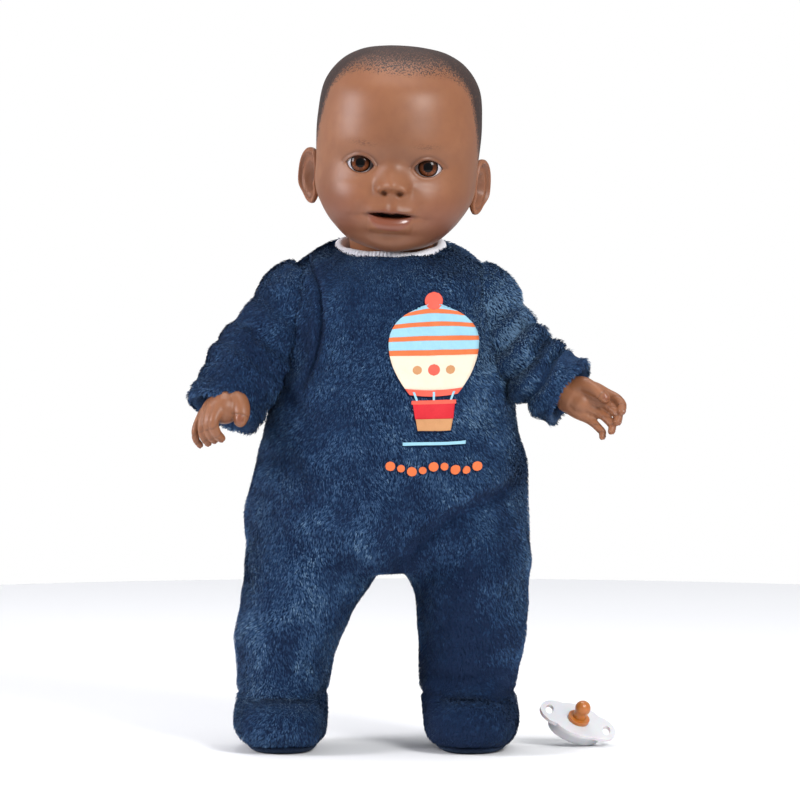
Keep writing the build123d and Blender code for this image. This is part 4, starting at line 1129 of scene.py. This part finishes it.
def inside_of(points, other):
    """Which points are inside another closed piece."""
    tree = BVHTree.FromObject(other, bpy.context.evaluated_depsgraph_get())
    hits = []
    for p in points:
        spot, normal, *_ = tree.find_nearest(Vector(p) * MM)
        hits.append(spot is not None and (Vector(p) * MM - spot).dot(normal) < -0.0006)
    return np.array(hits)


def sprout(piece, per_mm2, lay):
    """Roots of the pile: points, normals and lie over a piece's skin."""
    mesh = piece.data
    mesh.calc_loop_triangles()
    tri = np.empty(len(mesh.loop_triangles) * 3, np.int32)
    mesh.loop_triangles.foreach_get("vertices", tri)
    tri = tri.reshape(-1, 3)
    points, normals = points_of(piece), normals_of(piece)
    a, b, c = points[tri[:, 0]], points[tri[:, 1]], points[tri[:, 2]]
    area = np.linalg.norm(np.cross(b - a, c - a), axis=1) / 2
    count = int(area.sum() * per_mm2)
    pick = np.searchsorted(np.cumsum(area), RANDOM.random(count) * area.sum())
    pick = np.minimum(pick, len(tri) - 1)
    r, s = np.sqrt(RANDOM.random(count)), RANDOM.random(count)
    w = np.stack([1 - r, r * (1 - s), r * s], 1)[..., None]
    roots = (points[tri[pick]] * w).sum(1)
    out = unit((normals[tri[pick]] * w).sum(1))
    way = lay(roots)
    way = way - out * (way * out).sum(1, keepdims=True)
    return roots, out, unit(way + 1e-9)


def near_hand(points, side):
    """Which points lie in the hand or right on it."""
    touching = np.zeros(len(points), bool)
    for ray in HANDS[side]:
        keys = np.array(ray) + (MID, 0, 0, 0)
        for a, b in zip(keys, keys[1:]):
            line = b[:3] - a[:3]
            along = np.clip((points - a[:3]) @ line / (line @ line), 0, 1)
            gap = np.linalg.norm(points - a[:3] - along[:, None] * line, axis=1)
            touching |= gap < a[3] + (b[3] - a[3]) * along + 0.9
    return touching


def blades(name, roots, out, way, long, high, wide, finish):
    """A short curved fibre clump at each root, as one piece."""
    n = len(roots)
    side = np.cross(out, way)
    roll = (RANDOM.random(n)[:, None] - 0.5) * 1.1
    side = side * np.cos(roll) + out * np.sin(roll)
    size = (0.7 + 0.6 * RANDOM.random(n))[:, None]
    half = wide / 2 * size
    mid = roots + way * long * 0.45 * size + out * high * 0.62 * size
    tip = roots + way * long * size + out * high * size * (0.75 + 0.5 * RANDOM.random(n)[:, None])
    base = roots - out * 0.5
    points = np.stack([base - side * half * 0.7, base + side * half * 0.7, mid + side * half,
                       mid - side * half, tip], 1)
    at = np.arange(n)[:, None] * 5
    quads = at + np.array([[0, 1, 2, 3]])
    tris = at + np.array([[3, 2, 4]])
    mesh = bpy.data.meshes.new(name)
    mesh.vertices.add(n * 5)
    mesh.vertices.foreach_set("co", (points.reshape(-1, 3) * MM).ravel())
    loops = np.concatenate([quads, tris], 1).ravel()
    mesh.loops.add(len(loops))
    mesh.loops.foreach_set("vertex_index", loops.astype(np.int32))
    mesh.polygons.add(2 * n)
    start = (np.arange(n)[:, None] * 7 + np.array([[0, 4]])).ravel()
    mesh.polygons.foreach_set("loop_start", start.astype(np.int32))
    mesh.polygons.foreach_set("loop_total", np.tile([4, 3], n).astype(np.int32))
    mesh.polygons.foreach_set("use_smooth", np.ones(2 * n, bool))
    mesh.update(calc_edges=True)
    mesh.materials.append(finish)
    piece = bpy.data.objects.new(name, mesh)
    bpy.context.scene.collection.objects.link(piece)
    return piece


# painted light and shade on the pile: painted shade on the left leg and foot and the right sleeve,
# painted highlight on the left chest and the left leg's outer edge: (across, height, spread across,
# spread up), amount
PILE_LIGHT_AND_SHADE = [
    ((44, 66, 24, 34), -0.62),
    ((44, 12, 34, 18), -0.95),
    ((66, 252, 12, 26), 0.75),
    ((82, 110, 9, 50), 0.22),
    ((-84, 240, 20, 24), -0.42),
    ((-36, 262, 24, 20), -0.16),
    ((40, 200, 50, 30), 0.06),
]


PILE_LONG, PILE_HIGH, PILE_WIDE = 1.9, 0.95, 0.52
PILE_PER_MM2 = 1.7
PILE_STEPS = [0.34, 0.66, 0.93]         # where the deep shade turns to mid, pale and tip


def fleece(name, roots, out, way, last):
    """Four shades of pile over one part of the suit; last(piece) says what it rides on."""
    swirl = (0.75 * rumple(roots, 30, 21) + 0.35 * rumple(roots, 9, 33)
             + 0.5 * (RANDOM.random(len(roots)) - 0.5))
    turned = way * np.cos(swirl)[:, None] + np.cross(out, way) * np.sin(swirl)[:, None]
    x, z = roots[:, 0] - MID, roots[:, 2]
    # painted light and shade over the pile, from the table above
    brushed = sum(amount * hump(x, z, *spot) for spot, amount in PILE_LIGHT_AND_SHADE)
    # painted shade along the deep creases on the front
    if name.startswith("pile"):
        flat = np.stack([x, z], 1)
        for keys, depth, width, _ in CREASES:
            if depth > 1.5:
                shadow = np.exp(-0.5 * (gap_from(flat, keys) / (width + 0.8)) ** 2)
                brushed -= 0.13 * depth * (out[:, 1] < 0) * shadow
    value = (0.5 + brushed + 0.26 * rumple(roots, 16, 41) + 0.16 * rumple(roots, 3, 55)
             + 0.62 * (RANDOM.random(len(roots)) - 0.5))
    level = np.digitize(value, PILE_STEPS)
    for i, shade in enumerate(SHADES):
        chosen = level == i
        if chosen.any():
            piece = blades(f"{name}_{shade.name.split('_')[1]}", roots[chosen], out[chosen],
                           turned[chosen], PILE_LONG, PILE_HIGH + 0.12 * i, PILE_WIDE, shade)
            last(piece)


def sole(side):
    """The darker flat piece sewn under each foot."""
    cx, cy, wide, deep = FEET[side]
    # rows: height, and its part of the foot's size
    rows = [(0.0, 0.46), (0.0, 0.56), (0.5, 0.64), (1.4, 0.70), (2.6, 0.745), (3.6, 0.75),
            (4.2, 0.68)]
    rings = oval_rings([(z, MID + cx, cy, wide * k, deep * k) for z, k in rows], 160, 2.35)
    toe = np.clip((-rings[..., 1] - 34) / 18, 0, 1)
    rings[..., 2] += (2.2 if side == "right" else 0.7) * toe**2
    piece = skinned(f"sole_{side}_pad", rings, SOLE)
    unmarked(piece, "seam")
    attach(piece, f"leg_{side}")
    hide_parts(f"sole_{side}")


for side in SIDES:
    sole(side)
suit = suit_body()
trunk_skin = BVHTree.FromObject(suit, bpy.context.evaluated_depsgraph_get())
sleeves = {side: sleeve(side) for side in SIDES}
# the suit is dark where a sleeve is sewn to it
seam = np.empty(len(suit.data.vertices), np.float32)
suit.data.attributes["seam"].data.foreach_get("value", seam)
body_points = points_of(suit)
for side in SIDES:
    near = (body_points[:, 2] > 185) & (SIDES[side] * (body_points[:, 0] - MID) > 25)
    spots = np.where(near)[0]
    seam[spots[near_surface(body_points[spots], sleeves[side], 1.3)]] = 1
mark(suit, "seam", seam)

# no pile under the print, on the soles, along the armhole's seam, under the collar, down the middle
# of the back or inside a sleeve
roots, out, way = sprout(suit, PILE_PER_MM2, lambda p: np.tile([0, -0.1, -1.0], (len(p), 1)))
across = roots[:, 0] - MID
keep = ~((out[:, 1] < -0.2) & (roots[:, 2] > 150) & in_print(roots[:, 0], roots[:, 2]))
keep &= roots[:, 2] > 2.2
keep &= ~((out[:, 1] < 0) & (gap_from(np.stack([across, roots[:, 2]], 1), ARMHOLE) < 0.9))
keep &= ~((np.hypot(across, roots[:, 1] - 5) < 32.5) & (roots[:, 2] > 270))
keep &= ~((out[:, 1] > 0.5) & (np.abs(across) < 2.0) & (roots[:, 2] > 150))
for side in SIDES:
    spots = np.where(keep & (roots[:, 2] > 180) & (SIDES[side] * (roots[:, 0] - MID) > 25))[0]
    keep[spots[inside_of(roots[spots], sleeves[side])]] = False
roots, out, way = roots[keep], out[keep], way[keep]


def across_hip(piece):
    """Bakes the piece's place into its points."""
    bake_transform(piece)


halves = {}
for side in SIDES:
    half = suit if side == "left" else suit.copy()
    if side == "right":
        half.data = suit.data.copy()
        bpy.context.scene.collection.objects.link(half)
    halves[side] = half
for side, half in halves.items():
    half.name = half.data.name = f"suit_{side}"
    shape = bmesh.new()
    shape.from_mesh(half.data)
    bmesh.ops.bisect_plane(shape, geom=shape.verts[:] + shape.edges[:] + shape.faces[:],
                           plane_co=(MID * MM, 0, 0), plane_no=(SIDES[side], 0, 0),
                           clear_inner=True)
    shape.to_mesh(half.data)
    shape.free()
    mine = SIDES[side] * (roots[:, 0] - MID) > 0
    fleece(f"pile_{side}", roots[mine], out[mine], way[mine],
           lambda piece, side=side: across_hip(piece))
    across_hip(half)
    own = sleeves[side]
    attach(own, f"arm_{side}")
    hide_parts(f"sleeve_{side}", f"upper_arm_{side}", f"arm_tie_{side}")
    axis = unit(np.array(SLEEVES[side][-1][:3]) - np.array(SLEEVES[side][1][:3]))
    r, o, w = sprout(own, PILE_PER_MM2, lambda p, axis=axis: np.tile(axis, (len(p), 1)))
    middle = np.array(SLEEVES[side][-1][:3]) + (MID, 0, 0)
    # no pile inside the cuff or on the hand
    beyond = (r - middle) @ axis
    from_axis = np.linalg.norm((r - middle) - np.outer(beyond, axis), axis=1)
    keep = ~((from_axis < 19.5) & (beyond > -14))
    keep &= ~near_hand(r + o * 0.8, side)
    fleece(f"sleeve_pile_{side}", r[keep], o[keep], w[keep],
           lambda piece, side=side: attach(piece, f"arm_{side}"))
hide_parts("suit_front", "suit_back_right", "cloth_body")
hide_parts("suit_back_left")
for side, half in halves.items():
    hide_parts(f"suit_leg_{side}", f"suit_foot_{side}", f"thigh_{side}",
                f"lower_leg_{side}", f"leg_tie_{side}")


# ---- print, collar and closing
def laid_on_suit(x, z, lift, facing):
    """A point on the front, facing -1, or the back, facing 1, of the suit, lifted off the cloth."""
    start = Vector((x, facing * 200, z)) * MM
    spot, normal, *_ = trunk_skin.ray_cast(start, Vector((0, -facing, 0)))
    spot = spot + normal * lift * MM
    return [spot.x / MM, spot.y / MM, spot.z / MM]


def chest_prints():
    groups = {}
    for order, (colour, shape, low, high) in enumerate(PRINT):
        patch = band(shape, low, high, 22, 12)
        rows, columns = patch.shape[:2]
        lift = PRINT_LIFT + PRINT_LAYER * max(order - (len(STRIPES) - 1), 0)
        points = [laid_on_suit(MID + PRINT_X + x, PRINT_LOW + z, lift, -1)
                  for x, z in patch.reshape(-1, 2)]
        held = groups.setdefault(colour, ([], []))
        held[1].extend((grid_faces(rows, columns, around=False) + len(held[0])).tolist())
        held[0].extend(points)
    for colour, (points, faces) in groups.items():
        piece = make(f"print_{colour}", points, faces, FILMS[colour])
        modified(piece, "WELD", merge_threshold=0.00002)
        modified(piece, "SOLIDIFY", thickness=0.0006, offset=-1)
        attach(piece, "root")
        if colour == "cream":
            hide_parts("chest_print")


# rows over the collar from the inside: radius, height
COLLAR_ROWS = [(26.4, 283), (26.8, 290), (27.6, 295.5), (29.4, 297.8), (31.4, 297.0), (32.4, 293.5),
               (33.2, 288), (33.6, 284)]
COLLAR_RIBS = 88
STITCHES, STITCH_RADIUS, STITCH_Z, STITCH_HALF = 110, 33.9, 289.5, 0.75


def collar_band():
    profile = through(COLLAR_ROWS, 40)
    turn = np.linspace(0, 2 * math.pi, 720, endpoint=False)
    ribs = 0.33 * np.cos(turn * COLLAR_RIBS) * smooth_step(profile[:, 1], 283, 286)[:, None]
    sag = 0.5 * np.sin(3 * turn + 0.6) + 0.35 * np.sin(7 * turn)
    radius = profile[:, 0][:, None] + ribs + 0.25 * np.sin(5 * turn + 1)
    x, y = MID + radius * np.cos(turn), 5 + radius * np.sin(turn)
    upper = smooth_step(profile[:, 1], 284, 292)[:, None]
    z = profile[:, 1][:, None] + (NECK_TILT * (y - 5) + sag) * upper
    rings = np.stack([x, y, z], -1)
    faces = grid_faces(len(profile), 720).tolist()
    collar = make("collar_rib", rings, faces, KNIT)
    modified(collar, "SOLIDIFY", thickness=0.0007, offset=-1)
    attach(collar, "root")
    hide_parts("collar")
    # the stitch line that holds the band to the plush
    stitches, faces = [], []
    for i in range(STITCHES):
        a = 2 * math.pi * i / STITCHES
        spot = np.array([MID + STITCH_RADIUS * math.cos(a), 5 + STITCH_RADIUS * math.sin(a),
                         STITCH_Z + NECK_TILT * STITCH_RADIUS * math.sin(a)])
        way = np.array([-math.sin(a), math.cos(a), 0.0])
        out = np.array([math.cos(a), math.sin(a), 0.0])
        base = len(stitches)
        for k in (-1, -0.5, 0, 0.5, 1):
            for c, s in ((0.28, 0), (0, 0.28), (-0.28, 0), (0, -0.28)):
                stitches.append(spot + way * STITCH_HALF * k + out * (c + 0.25 * (1 - k * k))
                                + np.array([0, 0, s]) * (1.05 - abs(k) * 0.5))
        faces += (grid_faces(5, 4) + base).tolist()
        faces += [[base + 3, base + 2, base + 1, base], [base + 16 + j for j in range(4)]]
    thread = make("collar_stitches", np.array(stitches), faces, THREAD)
    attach(thread, "root")


def back_closing():
    """The overlapped closing down the middle of the back, with its edge stitching."""
    low, high, half = 152, 289, 9.5
    heights = np.linspace(low, high, 120)
    widths = np.linspace(-half, half, 25)
    points = []
    for z in heights:
        ends = smooth_step(abs(z - (low + high) / 2), 66, 68.5)
        for x in widths:
            lift = 1.5 - 1.3 * (abs(x) / half) ** 8 - 1.2 * ends
            points.append(laid_on_suit(MID + x, z, lift, 1))
    strip = make("back_closing", points, grid_faces(120, 25, around=False), PLUSH)
    mark(strip, "seam", np.tile(np.exp(-0.5 * ((np.abs(widths) - 7.4) / 0.35) ** 2), 120))
    modified(strip, "SOLIDIFY", thickness=0.0012, offset=-1)
    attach(strip, "root")
    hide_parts("back_placket")


# ---- hands
HAND_VOXEL = 0.75


def hand(side):
    sign = SIDES[side]
    parts = []
    for ray in HANDS[side]:
        keys = [(MID + x, y, z, r) for x, y, z, r in ray]
        rings = tube_rings(keys, 40, 32)
        ends = []
        for ring, before in ((rings[0], rings[1]), (rings[-1], rings[-2])):
            middle = ring.mean(0)
            way = unit(middle - before.mean(0))
            r = np.linalg.norm(ring[0] - middle)
            ends.append([middle + (ring - middle) * math.cos(a) + way * r * math.sin(a)
                         for a in np.radians([20, 40, 58, 74, 86])])
        capped = np.concatenate([np.array(ends[0][::-1]), rings, np.array(ends[1])])
        parts.append(skinned("ray", capped, SKIN))
    elbow = SLEEVES[side][3]
    wrist, palm = HANDS[side][0][:2]
    arm = tube_rings([(MID + elbow[0], elbow[1], elbow[2], 11.5),
                      (MID + wrist[0] * 0.9 + elbow[0] * 0.1, wrist[1], wrist[2] + 2, 10.4),
                      (MID + palm[0], palm[1], palm[2], 9.6)], 24, 40)
    parts.append(skinned("forearm", arm, SKIN))
    whole = fused(f"hand_{side}", parts, HAND_VOXEL)
    modified(whole, "SMOOTH", factor=0.5, iterations=5)
    modified(whole, "SUBSURF", levels=1)
    points, normals = points_of(whole), normals_of(whole)
    push, shade, nail = np.zeros(len(points)), np.zeros(len(points)), np.zeros(len(points))
    thumb = HANDS[side][-1]
    for ray in HANDS[side][1:]:
        tip, before = (np.array(ray[i][:3]) + (MID, 0, 0) for i in (-1, -2))
        radius = ray[-1][3]
        way = unit(tip - before)
        bend = unit(np.array(ray[-2][:3]) - np.array(ray[-3][:3]))
        # the nail is on the outside of the finger's bend, and on the front of the thumb
        if ray is thumb:
            out = unit(np.array([sign * 0.1, -0.9, 0.5]))
        else:
            out = unit(bend - way * (bend @ way) + 1e-6)
        out = unit(out - way * (out @ way))
        off = points - (tip + out * radius + way * radius * 0.2)
        along, aside = off @ way, np.linalg.norm(np.cross(off, way), axis=1)
        plate = np.sqrt((along / (radius * 0.95)) ** 2 + (aside / (radius * 0.75)) ** 2)
        facing = (normals @ out) > 0.2
        push += facing * (0.22 * (plate < 0.8) - 0.16 * np.exp(-0.5 * ((plate - 1) / 0.14) ** 2))
        nail = np.maximum(nail, facing * (1 - smooth_step(plate, 0.75, 0.95)))
        # a groove across each joint, with painted shade in it
        for joint in ray[3:-1]:
            off = points - (np.array(joint[:3]) + (MID, 0, 0))
            close = np.linalg.norm(off, axis=1) < joint[3] * 1.35
            ring = np.exp(-0.5 * ((off @ way) / 0.35) ** 2) * close
            push -= 0.16 * ring
            shade = np.maximum(shade, 0.5 * ring)
    move_points(whole, points + normals * push[:, None])
    mark(whole, "shade", shade)
    mark(whole, "lip", nail * 0.55)
    unmarked(whole, "hair", "blush", "inside", "brow")
    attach(whole, f"arm_{side}")
    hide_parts(f"forearm_{side}")


chest_prints()
collar_band()
back_closing()
for side in SIDES:
    hand(side)


# ---- CAD nodes that stay, in their own finishes
for name, node in NODES.items():
    given = node.material_slots[0].material.name.split(".")[0] if node.material_slots else ""
    finish = INNER.get(given, INNER["case_plastic"])
    if not node.material_slots:
        node.data.materials.append(finish)
    for held in node.material_slots:
        held.material = finish


# ---- floor, light and camera
# in metres, from here on
FLOOR_RADIUS, BACKDROP_HALF = 0.95, 12.0


def soft_light(name, spot, aim, power, size, colour=(1, 1, 1)):
    data = bpy.data.lights.new(name, "AREA")
    data.energy, data.size, data.color = power, size, colour
    lamp = bpy.data.objects.new(name, data)
    lamp.location = spot
    lamp.rotation_euler = (Vector(aim) - Vector(spot)).to_track_quat("-Z", "Y").to_euler()
    bpy.context.scene.collection.objects.link(lamp)


def stage():
    """A round pale floor, and a plain white box all round that lights nothing."""
    p = Paint("pale_floor", Specular_IOR_Level=0.2)
    cloud = p.speckle(3, 2)
    p.feed(Base_Color=p.blended(cloud, tone(250, 250, 250), tone(245, 245, 246)),
           Roughness=0.6 + 0.1 * cloud)
    turn = np.linspace(0, 2 * math.pi, 128, endpoint=False)
    disc = np.stack([FLOOR_RADIUS * np.cos(turn), FLOOR_RADIUS * np.sin(turn), 0 * turn], 1)
    floor = make("floor", disc / MM, [list(range(128))], p.material)
    white = Paint("white_backdrop", Specular_IOR_Level=0.0, Emission_Strength=1.0)
    white.feed(Base_Color=tone(0, 0, 0), Emission_Color=tone(255, 255, 255))
    ends = (-BACKDROP_HALF, BACKDROP_HALF)
    corners = np.array([(x, y, z) for x in ends for y in ends for z in ends]) / MM
    walls = [[0, 1, 3, 2], [4, 6, 7, 5], [0, 4, 5, 1], [2, 3, 7, 6], [0, 2, 6, 4], [1, 5, 7, 3]]
    backdrop = make("backdrop", corners, walls, white.material)
    backdrop.visible_diffuse = backdrop.visible_glossy = backdrop.visible_shadow = False


stage()
world = bpy.data.worlds.new("studio")
world.use_nodes = True
world.node_tree.nodes["Background"].inputs["Color"].default_value = (0.93, 0.95, 1.0, 1)
world.node_tree.nodes["Background"].inputs["Strength"].default_value = 0.5
bpy.context.scene.world = world
bpy.context.scene.view_settings.view_transform = "Standard"
soft_light("key", (0.85, -1.2, 1.1), (0.0, 0.0, 0.26), 24, 0.55)
soft_light("side", (-1.25, -0.3, 0.7), (0.0, 0.0, 0.26), 14, 0.5, (0.96, 0.95, 1.0))
soft_light("top", (0.0, 0.25, 1.6), (0.0, 0.0, 0.2), 9, 0.8)

CAMERA_AWAY, CAMERA_RISE, CAMERA_LENS = 6.0, math.radians(5), 458.3
AIM = Vector((-0.0036, 0.0, 0.2056))
data = bpy.data.cameras.new("camera")
data.lens, data.sensor_width = CAMERA_LENS, 36
camera = bpy.data.objects.new("camera", data)
back = Vector((0, -math.cos(CAMERA_RISE), math.sin(CAMERA_RISE)))
camera.location = AIM + back * CAMERA_AWAY
camera.rotation_euler = (-back).to_track_quat("-Z", "Y").to_euler()
bpy.context.scene.collection.objects.link(camera)
bpy.context.scene.camera = camera
